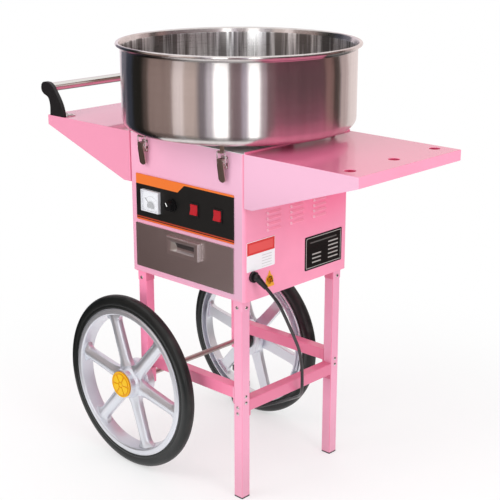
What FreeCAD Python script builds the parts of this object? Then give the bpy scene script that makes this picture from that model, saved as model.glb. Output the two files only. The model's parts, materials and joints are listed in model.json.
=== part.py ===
"""Electric candy-floss machine standing on a two-wheeled push cart.

Units are millimetres, +Z is up, the control panel looks toward -Y and the push
bar is at the -X end.  Everything is drawn about the axis of the floss bowl; the
last function moves the pieces so that the middle of the whole cart is at X = 0.
"""
import FreeCAD
import Part
import math
import os

V = FreeCAD.Vector

# ---------------------------------------------------------------- main sizes
body_half_x = 170.0
body_half_y = 164.0
body_bottom = 451.0
body_top = 761.0
body_corner = 7.0
sheet = 1.5                   # folded steel sheet of the body and the wings
deck_sheet = 1.5

wing_reach_right = 455.0      # from the bowl axis to the end of the wing
wing_reach_left = 453.0
wing_end_height = 22.0
wing_root_height = 111.0
wing_flat = 22.0              # level part of the underside next to the body
wing_lip_height = 3.5
wing_lip_width = 3.0
wing_return = 10.0            # folded-in edge along the underside

cone_hole_radius = 11.5
cone_hole_x = 410.0
cone_hole_pitch = 135.0
cone_row_y = 2.0

bowl_rim_radius = 260.0
bowl_rim_stand = 10.0         # how far the rim stands out from the wall
bowl_bead = 4.0               # radius of the rolled rim
bowl_flare = 9.0              # height of the flare under the rim
bowl_height = 179.0
bowl_clearance = 14.0         # between the deck and the bowl
bowl_corner = 22.0
bowl_sheet = 1.2
bowl_well_radius = 62.0       # upturned collar round the spinner
bowl_well_height = 22.0
spindle_hole_gap = 3.0        # round the spindle in the deck
buffer_radius = 15.0          # rubber buffers between deck and bowl
buffer_circle = 100.0

leg_size = 24.0
leg_wall = 1.5
leg_corner = 2.0
leg_inset_x = 11.5            # outer faces of the legs inside the body
leg_inset_y = 5.5
left_leg_end = 182.0
foot_plate = 3.0
foot_depth = 12.0

rail_size = 24.5
rail_wall = 1.5
side_rail_bottom = 200.0
side_rail_height = 26.5
cross_rail_bottom = 229.0
cross_rail_height = 26.5
rail_end_plate = 2.0
rail_end_drop = 12.0
collar_wall = 1.4
collar_height = 23.0
collar_flange = 3.0
screw_radius = 3.4
screw_height = 1.8
screw_pitch = 14.0
side_screw_z = 197.0
cross_screw_z = 222.0
collar_screw_drop = 16.0

axle_radius = 6.0
wheel_radius = 199.5
wheel_stand = 43.0            # middle of each wheel outside the legs
tyre_half_width = 13.0
tyre_corner = 12.0
rim_radius = 171.0
rim_half_width = 15.0
rim_lip_radius = 157.0
rim_back_radius = 150.0
rim_groove_depth = 22.0
spoke_count = 6
spoke_first_angle = 48.5
spoke_width_hub = 31.0
spoke_width_rim = 25.0
spoke_depth = 17.0
spoke_ridge = 4.5
hub_front = 26.5              # hub face outside the wheel's middle
hub_back = 31.5               # hub face inside the wheel's middle
hub_radius_front = 33.0
hub_radius_back = 37.0
hub_disc_radius = 46.0
hub_disc_depth = 20.0
hub_pocket_radius = 26.0
hub_pocket_depth = 14.0
axle_play = 0.05              # radial running gap of the wheels
side_play = 0.3               # gap beside every turning or sliding piece
retainer_radius = 12.0
retainer_thickness = 3.0
bush_radius = 29.0
bush_step_radius = 16.0
cap_radius = 30.0
cap_thickness = 3.5
cap_plug = 4.0

bar_radius = 10.0
bar_inset = 21.0              # bar's middle to the outermost point of the horns
bar_rise = 62.0               # bar's middle above the wing
bar_socket = 14.0
horn_thickness = 26.0
horn_overhang = 21.0          # how far the horns reach past the end of the wing
horn_length = 77.0
horn_height = 75.2
foot_tab_inset = 41.0
foot_tab_width = 9.0
foot_tab_length = 38.0
foot_tab_thickness = 2.0
foot_tab_screw_edge = 8.5
ferrule_wall = 2.5
ferrule_length = 3.0

panel_left = -150.0
panel_right = 143.0
panel_bottom = 571.0
panel_top = 673.0
panel_thickness = 2.0
panel_wrap = 9.0              # body sheet left standing round the panel window
meter_x = -100.5
meter_z = 618.5
meter_width = 55.0
meter_height = 47.0
meter_depth = 38.0
meter_stand = 7.0             # how far the meter stands out of the panel
meter_wall = 1.6
knob_x = -36.0
knob_z = 621.0
knob_radius = 13.5
knob_height = 15.0
knob_shaft = 3.0
rocker_x = (31.5, 99.5)
rocker_z = 623.0
rocker_width = 20.0
rocker_height = 23.5
rocker_frame = 2.5
rocker_depth = 24.0
rocker_stand = 2.2
rocker_pivot = 2.0            # depth of the rockers' pins behind the panel face
rocker_tilt = 7.0             # each way from level

drawer_left = -154.0
drawer_right = 142.0
drawer_bottom = 464.5
drawer_top = 563.0
drawer_front_thickness = 1.8
drawer_margin = 12.0          # front overlaps the box by this much at each side
drawer_depth = 236.0
drawer_wall = 1.0
drawer_box_height = 68.0
drawer_box_bottom = 472.0
runner_sheet = 1.5
runner_shelf = 16.0
runner_guard = 24.0
pull_half_width = 49.5
pull_bottom = 515.0
pull_top = 554.0
pull_depth = 9.5
pull_wall = 1.4
dish_front = (-38.0, 37.0, -10.5, 12.0)    # left, right, low, high from the pull's middle
dish_back = (-22.0, 35.0, -6.5, -0.5)
dish_depth = 6.0

latch_x = (-118.5, 118.0)
latch_stand = 10.75           # pivot outside the body
latch_drop = 20.0             # pivot below the deck
latch_arm = 8.0               # pivot to the bail's seat on the lever
latch_over_centre = 0.5
latch_bar_drop = 1.1          # bail's top bar below the deck
latch_pin = 1.5
latch_pin_play = 0.06
latch_wire = 1.25
latch_base_half = 9.6
latch_base_below = 17.0       # base plate below and above the pivot
latch_base_above = 9.0
latch_rivet_x = 4.6
latch_ear_x = 7.3
latch_ear_sheet = 1.5
latch_ear_radius = 4.0
lever_below = 44.5
lever_above = 5.0
lever_sheet = 2.0
lever_lean = 7.7
lever_half = 9.0
lever_neck_half = 6.8
bail_half = 11.2
catch_half = 6.0
catch_sheet = 1.5
catch_lip = 3.0

spindle_radius = 7.0
spindle_play = 0.06
motor_radius = 46.0
motor_height = 105.0
bearing_length = 17.5         # barrel between the deck and the motor
bearing_radius = 27.0
bearing_bore_length = 22.0
head_radius = 56.0
head_rise = 51.0              # underside of the pan above the deck
head_wall = 3.0
pan_slope = 14.0              # height and width of the pan's cone
pan_wall_height = 6.0
pan_boss_wall = 6.0
pan_boss_height = 13.0
spindle_reach = 27.0          # spindle's end above the underside of the pan
thrust_flange = 7.0
thrust_height = 5.0
band_thickness = 3.0
band_height = 30.0
band_slot_count = 24
band_slot_width = 2.2
band_slot_edge = 5.5
cap_sheet = 3.0
sugar_mouth = 24.0
sugar_neck_height = 12.0
sugar_neck_flare = 5.0
cap_arm_width = 6.0

gland_y = -138.0
gland_z = 502.5
gland_flange = 11.5
gland_flange_length = 6.0
gland_elbow = 8.0
gland_elbow_reach = 11.0      # elbow outside the wall
gland_tail = (19.0, 8.0, -19.5)
gland_tip_radius = 4.8
plate_sheet = 0.8
label_y = (-156.5, -72.5)
label_z = (514.5, 577.0)
data_plate_y = (23.5, 146.0)
data_plate_z = (475.5, 550.0)
earth_y = -88.0
earth_z = 484.0
earth_disc = 9.0
louvre_count = 5
louvre_first_z = 593.0
louvre_pitch = 12.0
louvre_length = 42.0
louvre_height = 6.0
louvre_stand = 3.0
louvre_start_y = (-98.0, -26.0, 47.0)

cord_radius = 3.5
cord_drop = [
    (52.0, -120.8, 458.7), (48.0, -93.5, 418.5), (36.0, -52.0, 361.0),
    (21.0, -11.5, 307.0), (11.0, 8.0, 252.0), (6.5, 13.0, 198.0)]   # beside the wall, x from the wall
cord_floor = [
    (119.0, 70.0, 155.0), (46.0, 139.0, 107.0), (-28.0, 172.0, 62.0), (-100.0, 173.0, 25.0),
    (-163.0, 166.0, cord_radius), (-212.0, 194.0, cord_radius), (-236.5, 219.0, cord_radius),
    (-236.5, 262.0, cord_radius)]
cord_bend_share = 0.45        # part of the shorter run taken up by each bend
coil_radius = 40.0            # to the middle of the winding
coil_turns_across = 2
coil_layers = 2
coil_entry = 3.0              # how far the cord's end is bedded in the winding
coil_exit_angle = 60.0        # where the last turn leaves for the plug
coil_exit_run = 45.0          # straight run from there to the plug
plug_width = 32.0
plug_height = 20.0
plug_length = 30.0
plug_tail_length = 22.0
plug_tail_radius = 4.5
plug_pin_radius = 2.4
plug_pin_length = 19.0
plug_pin_spacing = 19.0

# ------------------------------------------------------- sizes that follow on
horn_reach = wing_reach_left + horn_overhang
horn_outer_y = body_half_y
bar_x = bar_inset - horn_reach
bar_z = body_top + bar_rise
centre_x = (horn_reach - wing_reach_right) / 2.0
bowl_wall_radius = bowl_rim_radius - bowl_rim_stand
leg_face_x = body_half_x - leg_inset_x
leg_face_y = body_half_y - leg_inset_y
leg_centre_x = leg_face_x - leg_size / 2.0
leg_centre_y = leg_face_y - leg_size / 2.0
axle_x = -leg_centre_x
wheel_plane = leg_face_y + wheel_stand
deck_bottom = body_top - deck_sheet
bowl_bottom = body_top + bowl_clearance
bowl_top = bowl_bottom + bowl_height
latch_pivot_y = body_half_y + latch_stand
latch_pivot_z = body_top - latch_drop
latch_bar_z = body_top - latch_bar_drop
latch_base_bottom = latch_pivot_z - latch_base_below
latch_base_top = latch_pivot_z + latch_base_above
lever_bottom = latch_pivot_z - lever_below
lever_top = latch_pivot_z + lever_above
motor_top = deck_bottom - bearing_length
gland_elbow_x = body_half_x + gland_elbow_reach
gland_tip = (gland_elbow_x + gland_tail[0], gland_y + gland_tail[1], gland_z + gland_tail[2])
cord_points = [gland_tip] + [(body_half_x + x, y, z) for x, y, z in cord_drop] + cord_floor
axle_z = wheel_radius
hub_inner_y = wheel_plane - hub_back
hub_outer_y = wheel_plane + hub_front
pocket_floor_y = hub_outer_y - hub_pocket_depth
head_bottom = body_top + head_rise
band_bottom = head_bottom + pan_slope + head_wall
band_outer = head_radius - head_wall
cap_bottom = band_bottom + band_height
axle_end_y = pocket_floor_y + side_play + retainer_thickness + 1.5
drawer_centre_x = (drawer_left + drawer_right) / 2.0
drawer_box_half = (drawer_right - drawer_left) / 2.0 - drawer_margin
drawer_face_y = -body_half_y - side_play
cord_y_end = cord_points[-1]
coil_centre_x = cord_y_end[0] - coil_radius - cord_radius
coil_centre_y = cord_y_end[1]


# ------------------------------------------------------------------- helpers
def box(x0, x1, y0, y1, z0, z1):
    low = V(min(x0, x1), min(y0, y1), min(z0, z1))
    return Part.makeBox(abs(x1 - x0), abs(y1 - y0), abs(z1 - z0), low)


def rod(start, direction, radius, length):
    return Part.makeCylinder(radius, length, V(*start), V(*direction))


def cone(start, direction, radius0, radius1, length):
    return Part.makeCone(radius0, radius1, length, V(*start), V(*direction))


def fuse(shapes):
    result = shapes[0].multiFuse(shapes[1:]) if len(shapes) > 1 else shapes[0]
    return result.removeSplitter()


def round_edges(shape, radius, wanted):
    edges = [edge for edge in shape.Edges if wanted(edge)]
    return shape.makeFillet(radius, edges)


def along(edge, axis):
    if not isinstance(edge.Curve, Part.Line):
        return False
    return abs(abs(edge.Curve.Direction.dot(axis)) - 1.0) < 1e-6


def rounded_box(x0, x1, y0, y1, z0, z1, radius, axis):
    block = box(x0, x1, y0, y1, z0, z1)
    return round_edges(block, radius, lambda edge: along(edge, axis))


def prism(points, direction):
    wire = Part.makePolygon([V(*p) for p in points] + [V(*points[0])])
    return Part.Face(wire).extrude(V(*direction))


def turned(profile, axis_point, axis):
    """Solid of revolution; the profile is a closed list of points and arcs."""
    edges = []
    for piece in profile:
        if len(piece) == 2:
            edges.append(Part.LineSegment(V(*piece[0]), V(*piece[1])).toShape())
        else:
            edges.append(Part.Arc(V(*piece[0]), V(*piece[1]), V(*piece[2])).toShape())
    face = Part.Face(Part.Wire(Part.__sortEdges__(edges)))
    return face.revolve(V(*axis_point), V(*axis), 360)


def mirrored_y(shape):
    return shape.mirror(V(0, 0, 0), V(0, 1, 0))


def both_sides(shape):
    return [shape, mirrored_y(shape)]


def square_tube(length, size_a, size_b, wall, corner):
    """Tube standing on z = 0 about the Z axis."""
    outer = rounded_box(-size_a / 2, size_a / 2, -size_b / 2, size_b / 2, 0, length, corner, V(0, 0, 1))
    inner = box(-size_a / 2 + wall, size_a / 2 - wall, -size_b / 2 + wall, size_b / 2 - wall, -1, length + 1)
    return outer.cut(inner)


# ---------------------------------------------------------------------- body
def louvre_hoods():
    """Pressed hoods of the right-hand wall and the slots behind them."""
    hoods = []
    slots = []
    for start_y in louvre_start_y:
        for row in range(louvre_count):
            low = louvre_first_z + row * louvre_pitch - louvre_height / 2
            high = low + louvre_height
            x = body_half_x
            out = x + louvre_stand
            skin = 0.9
            hood = prism([(x - 0.5, start_y, low), (out, start_y, low), (out, start_y, low + skin),
                          (x, start_y, high), (x - 0.5, start_y, high)], (0, louvre_length, 0))
            slot_y = start_y + skin
            slot = prism([(x - sheet - 1, slot_y, low + 0.4), (x, slot_y, low - 0.01),
                          (out - skin, slot_y, low - 0.01), (out - skin, slot_y, low + skin),
                          (x - 0.2, slot_y, high - 1.5), (x - sheet - 1, slot_y, high - 1.5)],
                         (0, louvre_length - 2 * skin, 0))
            hoods.append(hood)
            slots.append(slot)
    return hoods, slots


def cabinet():
    """Folded body with floor, top return flange, windows and louvres."""
    shell = rounded_box(-body_half_x, body_half_x, -body_half_y, body_half_y,
                        body_bottom, deck_bottom, body_corner, V(0, 0, 1))
    cavity = rounded_box(-body_half_x + sheet, body_half_x - sheet, -body_half_y + sheet,
                         body_half_y - sheet, body_bottom + sheet, deck_bottom - sheet,
                         body_corner - sheet, V(0, 0, 1))
    flange = 16.0
    top_window = rounded_box(-body_half_x + flange, body_half_x - flange, -body_half_y + flange,
                             body_half_y - flange, deck_bottom - 2 * sheet, deck_bottom + 1,
                             body_corner, V(0, 0, 1))
    hoods, slots = louvre_hoods()
    drawer_window = box(drawer_centre_x - drawer_box_half - 3, drawer_centre_x + drawer_box_half + 3,
                        -body_half_y - 1, -body_half_y + sheet + 1,
                        drawer_box_bottom - 3, drawer_box_bottom + drawer_box_height + 4)
    panel_window = box(panel_left + panel_wrap, panel_right - panel_wrap, -body_half_y - 1,
                       -body_half_y + sheet + 1, panel_bottom + panel_wrap, panel_top - panel_wrap)
    gland_hole = rod((body_half_x - 5, gland_y, gland_z), (1, 0, 0), gland_elbow - 1.0, 10)
    shell = shell.multiFuse(hoods)
    return shell.cut([cavity, top_window, drawer_window, panel_window, gland_hole] + slots)


def deck_plate():
    plate = rounded_box(-body_half_x, body_half_x, -body_half_y, body_half_y,
                        deck_bottom, body_top, body_corner, V(0, 0, 1))
    return plate.cut(rod((0, 0, deck_bottom - 1), (0, 0, 1), spindle_radius + spindle_hole_gap, deck_sheet + 2))


def wing(reach, side, holes):
    """Folded tray, open below; side is +1 for the right-hand one."""
    root = side * body_half_x
    end = side * reach
    knee = side * (body_half_x + wing_flat)
    low = body_top - wing_root_height
    end_low = body_top - wing_end_height
    width = 2 * body_half_y
    outline = [(root, -body_half_y, body_top), (end, -body_half_y, body_top),
               (end, -body_half_y, end_low), (knee, -body_half_y, low), (root, -body_half_y, low)]
    tray = prism(outline, (0, width, 0))
    hollow = [(root + side * sheet, -body_half_y + sheet, body_top - sheet),
              (end - side * sheet, -body_half_y + sheet, body_top - sheet),
              (end - side * sheet, -body_half_y + sheet, end_low - 30),
              (knee, -body_half_y + sheet, low - 30),
              (root + side * sheet, -body_half_y + sheet, low - 30)]
    tray = tray.cut(prism(hollow, (0, width - 2 * sheet, 0)))
    slope = [(knee, -body_half_y + sheet, low), (end - side * sheet, -body_half_y + sheet, end_low + 0.5),
             (end - side * sheet, -body_half_y + sheet, end_low + 0.5 + sheet),
             (knee, -body_half_y + sheet, low + sheet)]
    fold = prism(slope, (0, wing_return, 0))
    lip = box(root, root + side * wing_lip_width, -body_half_y, body_half_y,
              body_top - sheet, body_top + wing_lip_height)
    lip = lip.makeFillet(1.2, [edge for edge in lip.Edges
                               if along(edge, V(0, 1, 0)) and edge.BoundBox.ZMin > body_top + 1])
    tray = fuse([tray, lip] + both_sides(fold))
    for y in holes:
        tray = tray.cut(rod((cone_hole_x, y, body_top - sheet - 1), (0, 0, 1), cone_hole_radius, sheet + 2))
    return tray


# ---------------------------------------------------------------------- bowl
def bowl():
    """Spun bowl with a rolled rim and an upturned collar in the middle."""
    outer = bowl_wall_radius
    inner = outer - bowl_sheet
    floor = bowl_bottom + bowl_sheet
    bead_x = bowl_rim_radius - bowl_bead
    bead_z = bowl_top - bowl_bead
    flare_z = bead_z - bowl_flare
    low_turn = math.radians(-115.0)
    high_turn = math.radians(170.0)
    low_join = (bead_x + bowl_bead * math.cos(low_turn), 0, bead_z + bowl_bead * math.sin(low_turn))
    high_join = (bead_x + bowl_bead * math.cos(high_turn), 0, bead_z + bowl_bead * math.sin(high_turn))
    turn_x = outer - bowl_corner
    turn_z = bowl_bottom + bowl_corner
    diag = math.sqrt(0.5)
    inner_turn = bowl_corner - bowl_sheet
    well = bowl_well_radius
    well_top = bowl_bottom + bowl_well_height
    profile = [
        ((well, 0, bowl_bottom), (turn_x, 0, bowl_bottom)),
        ((turn_x, 0, bowl_bottom), (turn_x + bowl_corner * diag, 0, turn_z - bowl_corner * diag),
         (outer, 0, turn_z)),
        ((outer, 0, turn_z), (outer, 0, flare_z)),
        ((outer, 0, flare_z), low_join),
        (low_join, (bowl_rim_radius, 0, bead_z), high_join),
        (high_join, (inner, 0, flare_z + bowl_sheet)),
        ((inner, 0, flare_z + bowl_sheet), (inner, 0, turn_z)),
        ((inner, 0, turn_z), (turn_x + inner_turn * diag, 0, turn_z - inner_turn * diag), (turn_x, 0, floor)),
        ((turn_x, 0, floor), (well + bowl_sheet, 0, floor)),
        ((well + bowl_sheet, 0, floor), (well + bowl_sheet, 0, well_top)),
        ((well + bowl_sheet, 0, well_top), (well, 0, well_top)),
        ((well, 0, well_top), (well, 0, bowl_bottom))]
    return turned(profile, (0, 0, 0), (0, 0, 1))


def bowl_buffers():
    """Four rubber buffers on the deck that carry the bowl."""
    result = []
    side = buffer_circle * math.sqrt(0.5)
    for x in (-side, side):
        for y in (-side, side):
            result.append(rod((x, y, body_top), (0, 0, 1), buffer_radius, bowl_bottom - body_top))
    return result


def catches():
    """Four hooks under the bowl; the latch bails lie in their troughs."""
    result = []
    plate_y = latch_pivot_y - latch_wire - 1.0
    trough_bottom = latch_bar_z - latch_wire - 0.1
    lip_y = latch_pivot_y + latch_wire + 1.0
    for x in latch_x:
        foot = box(x - catch_half, x + catch_half, -plate_y, -plate_y + 14, bowl_bottom - catch_sheet, bowl_bottom)
        plate = box(x - catch_half, x + catch_half, -plate_y, -plate_y + catch_sheet,
                    trough_bottom - catch_sheet, bowl_bottom)
        trough = box(x - catch_half, x + catch_half, -lip_y - catch_sheet, -plate_y + catch_sheet,
                     trough_bottom - catch_sheet, trough_bottom)
        lip = box(x - catch_half, x + catch_half, -lip_y - catch_sheet, -lip_y,
                  trough_bottom - catch_sheet, trough_bottom + catch_lip)
        result += both_sides(fuse([foot, plate, trough, lip]))
    return result


# ------------------------------------------------------------------- latches
def latch_base(x):
    face = -body_half_y
    plate = rounded_box(x - latch_base_half, x + latch_base_half, face - sheet, face,
                        latch_base_bottom, latch_base_top, 3.0, V(0, 1, 0))
    pieces = [plate]
    for side in (-1, 1):
        inner = x + side * latch_ear_x
        outer = inner + side * latch_ear_sheet
        low = min(inner, outer)
        ear = box(inner, outer, -latch_pivot_y, face - sheet + 0.5,
                  latch_pivot_z - latch_ear_radius, latch_pivot_z + latch_ear_radius)
        nose = rod((low, -latch_pivot_y, latch_pivot_z), (1, 0, 0), latch_ear_radius, latch_ear_sheet)
        pieces += [ear, nose]
    for dx in (-latch_rivet_x, latch_rivet_x):
        for z in (latch_base_bottom + 4.0, latch_base_top - 3.5):
            if z < latch_pivot_z - 10 or z > latch_pivot_z + latch_ear_radius:
                pieces.append(cone((x + dx, face - sheet + 0.2, z), (0, -1, 0), 2.6, 1.6, 1.4))
    body = fuse(pieces)
    pin_hole = rod((x - 20, -latch_pivot_y, latch_pivot_z), (1, 0, 0), latch_pin + latch_pin_play, 40)
    return body.cut(pin_hole)


def latch_lever(x):
    """Grip with a rounded tip, two cheeks and the pivot pin."""
    top_y = -latch_pivot_y - 3.45
    tip_y = top_y + lever_lean
    flat = [(x - lever_half, lever_bottom + 6), (x - lever_half, latch_pivot_z - 8),
            (x - lever_neck_half, latch_pivot_z - 4), (x - lever_neck_half, lever_top),
            (x + lever_neck_half, lever_top), (x + lever_neck_half, latch_pivot_z - 4),
            (x + lever_half, latch_pivot_z - 8), (x + lever_half, lever_bottom + 6)]
    outline = Part.makePolygon([V(px, 0, pz) for px, pz in flat])
    tip = Part.Arc(V(flat[-1][0], 0, flat[-1][1]), V(x, 0, lever_bottom), V(flat[0][0], 0, flat[0][1])).toShape()
    front = Part.Face(Part.Wire(outline.Edges + [tip])).extrude(V(0, -400, 0))
    side = prism([(x - 30, top_y, lever_top), (x - 30, top_y - lever_sheet, lever_top),
                  (x - 30, tip_y - lever_sheet, lever_bottom - 1), (x - 30, tip_y, lever_bottom - 1)], (60, 0, 0))
    pieces = [front.common(side)]
    for side_sign in (-1, 1):
        edge = x + side_sign * lever_neck_half
        cheek = prism([(edge, top_y - 0.6, lever_top), (edge, -latch_pivot_y + 3.0, lever_top),
                       (edge, -latch_pivot_y + 3.0, latch_pivot_z - latch_arm - 3.0),
                       (edge, top_y + 1.6, latch_pivot_z - latch_arm - 3.0)], (-side_sign * latch_ear_sheet, 0, 0))
        pieces.append(cheek)
    half = latch_ear_x + latch_ear_sheet + 0.6
    pieces.append(rod((x - half, -latch_pivot_y, latch_pivot_z), (1, 0, 0), latch_pin, 2 * half))
    lever = fuse(pieces)
    seat = rod((x - 20, -latch_pivot_y + latch_over_centre, latch_pivot_z - latch_arm), (1, 0, 0),
               latch_wire + latch_pin_play, 40)
    return lever.cut(seat)


def latch_bail(x):
    """Wire loop from the lever over the catch."""
    low_y = -latch_pivot_y + latch_over_centre
    low_z = latch_pivot_z - latch_arm
    bend = 3.0
    high = V(0, -latch_pivot_y, latch_bar_z)
    low = V(0, low_y, low_z)
    rise = (high - low).normalize()
    end = x - lever_neck_half + 0.4

    def at(px, base, shift):
        point = base + rise * shift
        return V(px, point.y, point.z)

    left = x - bail_half
    right = x + bail_half
    short = bend * (1 - math.sqrt(0.5))
    edges = [Part.LineSegment(V(end, low_y, low_z), at(left + bend, low, 0)),
             Part.Arc(at(left + bend, low, 0), at(left + short, low, short), at(left, low, bend)),
             Part.LineSegment(at(left, low, bend), at(left, high, -bend)),
             Part.Arc(at(left, high, -bend), at(left + short, high, -short), at(left + bend, high, 0)),
             Part.LineSegment(at(left + bend, high, 0), at(right - bend, high, 0)),
             Part.Arc(at(right - bend, high, 0), at(right - short, high, -short), at(right, high, -bend)),
             Part.LineSegment(at(right, high, -bend), at(right, low, bend)),
             Part.Arc(at(right, low, bend), at(right - short, low, short), at(right - bend, low, 0)),
             Part.LineSegment(at(right - bend, low, 0), V(2 * x - end, low_y, low_z))]
    path = Part.Wire([edge.toShape() for edge in edges])
    circle = Part.Wire(Part.Circle(V(end, low_y, low_z), V(1, 0, 0), latch_wire).toShape())
    return path.makePipeShell([circle], True, False)


# --------------------------------------------------------------------- frame
def leg(x_side, y_side, bottom):
    tube = square_tube(body_bottom - bottom, leg_size, leg_size, leg_wall, leg_corner)
    tube.translate(V(x_side * leg_centre_x, y_side * leg_centre_y, bottom))
    if x_side < 0:
        tube = tube.cut(rod((axle_x, -300, axle_z), (0, 1, 0), axle_radius, 600))
    return tube


def foot_plug(x_side, y_side, bottom):
    x = x_side * leg_centre_x
    y = y_side * leg_centre_y
    half = leg_size / 2
    pad = rounded_box(x - half, x + half, y - half, y + half, bottom - foot_plate, bottom, leg_corner, V(0, 0, 1))
    inner = half - leg_wall
    stem = box(x - inner, x + inner, y - inner, y + inner, bottom - 0.5, bottom + foot_depth)
    return fuse([pad, stem])


def collar(x_side, y_side):
    x = x_side * leg_centre_x
    y = y_side * leg_centre_y
    half = leg_size / 2 + collar_wall
    sleeve = rounded_box(x - half, x + half, y - half, y + half, body_bottom - collar_height,
                         body_bottom, leg_corner + collar_wall, V(0, 0, 1))
    rim = half + collar_flange
    flange = rounded_box(x - rim, x + rim, y - rim, y + rim, body_bottom - collar_wall,
                         body_bottom, leg_corner + collar_wall, V(0, 0, 1))
    body = fuse([sleeve, flange])
    hole = rounded_box(x - leg_size / 2, x + leg_size / 2, y - leg_size / 2, y + leg_size / 2,
                       body_bottom - collar_height - 1, body_bottom + 1, leg_corner, V(0, 0, 1))
    return body.cut(hole)


def rail(length, height):
    """Tube along X about the origin with an end plate reaching below it."""
    tube = rounded_box(-length / 2, length / 2, -rail_size / 2, rail_size / 2, 0, height, 2.0, V(1, 0, 0))
    tube = tube.cut(box(-length, length, -rail_size / 2 + rail_wall, rail_size / 2 - rail_wall,
                        rail_wall, height - rail_wall))
    plates = []
    for side in (-1, 1):
        end = side * length / 2
        plate = box(end, end - side * rail_end_plate, -rail_size / 2, rail_size / 2, -rail_end_drop, height)
        plate = plate.makeFillet(3.0, [edge for edge in plate.Edges
                                       if along(edge, V(1, 0, 0)) and edge.BoundBox.ZMin < 0])
        gusset = prism([(end - side * rail_end_plate, -2.0, 0.5), (end - side * 14.0, -2.0, 0.5),
                        (end - side * rail_end_plate, -2.0, -rail_end_drop + 2)], (0, 4.0, 0))
        plates += [plate, gusset]
    return fuse([tube] + plates)


def cross_rail(y_side):
    shape = rail(2 * leg_centre_x - leg_size, cross_rail_height)
    shape.translate(V(0, y_side * (leg_face_y - rail_size / 2), cross_rail_bottom))
    return shape


def side_rail():
    shape = rail(2 * leg_centre_y - leg_size, side_rail_height)
    shape.rotate(V(0, 0, 0), V(0, 0, 1), 90)
    shape.translate(V(leg_face_x - rail_size / 2, 0, side_rail_bottom))
    return shape


def screw(point, direction):
    """Low domed head with a cross recess."""
    axis = V(*direction)
    start = V(*point)
    head = Part.makeCylinder(screw_radius, screw_height, start, axis)
    head = head.makeFillet(screw_height * 0.6, [edge for edge in head.Edges
                                                 if (edge.CenterOfMass - start).dot(axis) > screw_height * 0.9
                                                 and isinstance(edge.Curve, Part.Circle)])
    recess = []
    for turn in (45, 135):
        bar = Part.makeBox(screw_radius * 1.2, 0.9, 1.2)
        bar.translate(V(-screw_radius * 0.6, -0.45, screw_height - 0.8))
        bar.rotate(V(0, 0, 0), V(0, 0, 1), turn)
        bar.Placement = FreeCAD.Placement(start, FreeCAD.Rotation(V(0, 0, 1), axis)).multiply(bar.Placement)
        recess.append(bar)
    return head.cut(recess)


def frame_screws():
    result = []
    for x_side in (-1, 1):
        for y_side in (-1, 1):
            x = x_side * leg_centre_x
            y = y_side * leg_centre_y
            face_x = x_side * leg_face_x
            face_y = y_side * leg_face_y
            z = body_bottom - collar_screw_drop
            result.append(screw((x, face_y + y_side * collar_wall, z), (0, y_side, 0)))
            result.append(screw((face_x + x_side * collar_wall, y, z), (x_side, 0, 0)))
            for step in (0, 1):
                result.append(screw((face_x, y, cross_screw_z + step * screw_pitch), (x_side, 0, 0)))
                if x_side > 0:
                    result.append(screw((x, face_y, side_screw_z + step * screw_pitch), (0, y_side, 0)))
    return result


# -------------------------------------------------------------------- wheels
def wheel_rim():
    """Moulded wheel lying in the XY plane, outer side up."""
    groove_top = -rim_half_width + rim_groove_depth
    ring_profile = [(rim_radius, 0, -tyre_half_width), (rim_radius, 0, tyre_half_width),
                    (rim_radius - 2.5, 0, rim_half_width), (rim_lip_radius + 1.5, 0, rim_half_width),
                    (rim_lip_radius, 0, rim_half_width - 2), (rim_back_radius + 1, 0, -rim_half_width + 3),
                    (rim_back_radius, 0, -rim_half_width), (rim_back_radius + 3, 0, -rim_half_width),
                    (rim_lip_radius + 2, 0, groove_top), (rim_radius - 5, 0, groove_top),
                    (rim_radius - 4, 0, -rim_half_width), (rim_radius - 2, 0, -rim_half_width)]
    closed = ring_profile + [ring_profile[0]]
    ring = turned([(closed[i], closed[i + 1]) for i in range(len(ring_profile))], (0, 0, 0), (0, 0, 1))
    disc_top = -hub_back + hub_disc_depth
    hub_profile = [(hub_disc_radius - 3, 0, -hub_back), (hub_disc_radius, 0, -hub_back + 3),
                   (hub_disc_radius, 0, disc_top - 3), (hub_radius_back + 2, 0, disc_top + 2),
                   (hub_radius_back, 0, spoke_depth / 2), (hub_radius_front, 0, hub_front - 2),
                   (hub_radius_front - 2, 0, hub_front), (0, 0, hub_front), (0, 0, -hub_back)]
    closed = hub_profile + [hub_profile[0]]
    hub = turned([(closed[i], closed[i + 1]) for i in range(len(hub_profile))], (0, 0, 0), (0, 0, 1))
    spokes = []
    reach = rim_lip_radius + 3
    for index in range(spoke_count):
        root = spoke_width_hub / 2
        tip = spoke_width_rim / 2
        low = -spoke_depth / 2
        shoulder = spoke_depth / 2 - spoke_ridge
        high = spoke_depth / 2
        start = 20.0
        sections = []
        for r, half in ((start, root), (reach, tip)):
            corners = [(r, -half, low), (r, half, low), (r, half, shoulder), (r, 4.0, high),
                       (r, -4.0, high), (r, -half, shoulder)]
            sections.append(Part.makePolygon([V(*c) for c in corners] + [V(*corners[0])]))
        spoke = Part.makeLoft(sections, True, True)
        tab = prism([(rim_back_radius - 8, -tip - 1, low), (rim_back_radius - 8, tip + 1, low),
                     (rim_back_radius + 3, tip + 8, low), (rim_back_radius + 3, -tip - 8, low)],
                    (0, 0, spoke_depth - spoke_ridge - 1))
        spoke = spoke.fuse(tab)
        spoke.rotate(V(0, 0, 0), V(0, 0, 1), spoke_first_angle + index * 360.0 / spoke_count)
        spokes.append(spoke)
    body = fuse([hub, ring] + spokes)
    bore = rod((0, 0, -60), (0, 0, 1), axle_radius + axle_play, 120)
    pocket = rod((0, 0, hub_front - hub_pocket_depth), (0, 0, 1), hub_pocket_radius, 60)
    return body.cut([bore, pocket])


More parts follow.
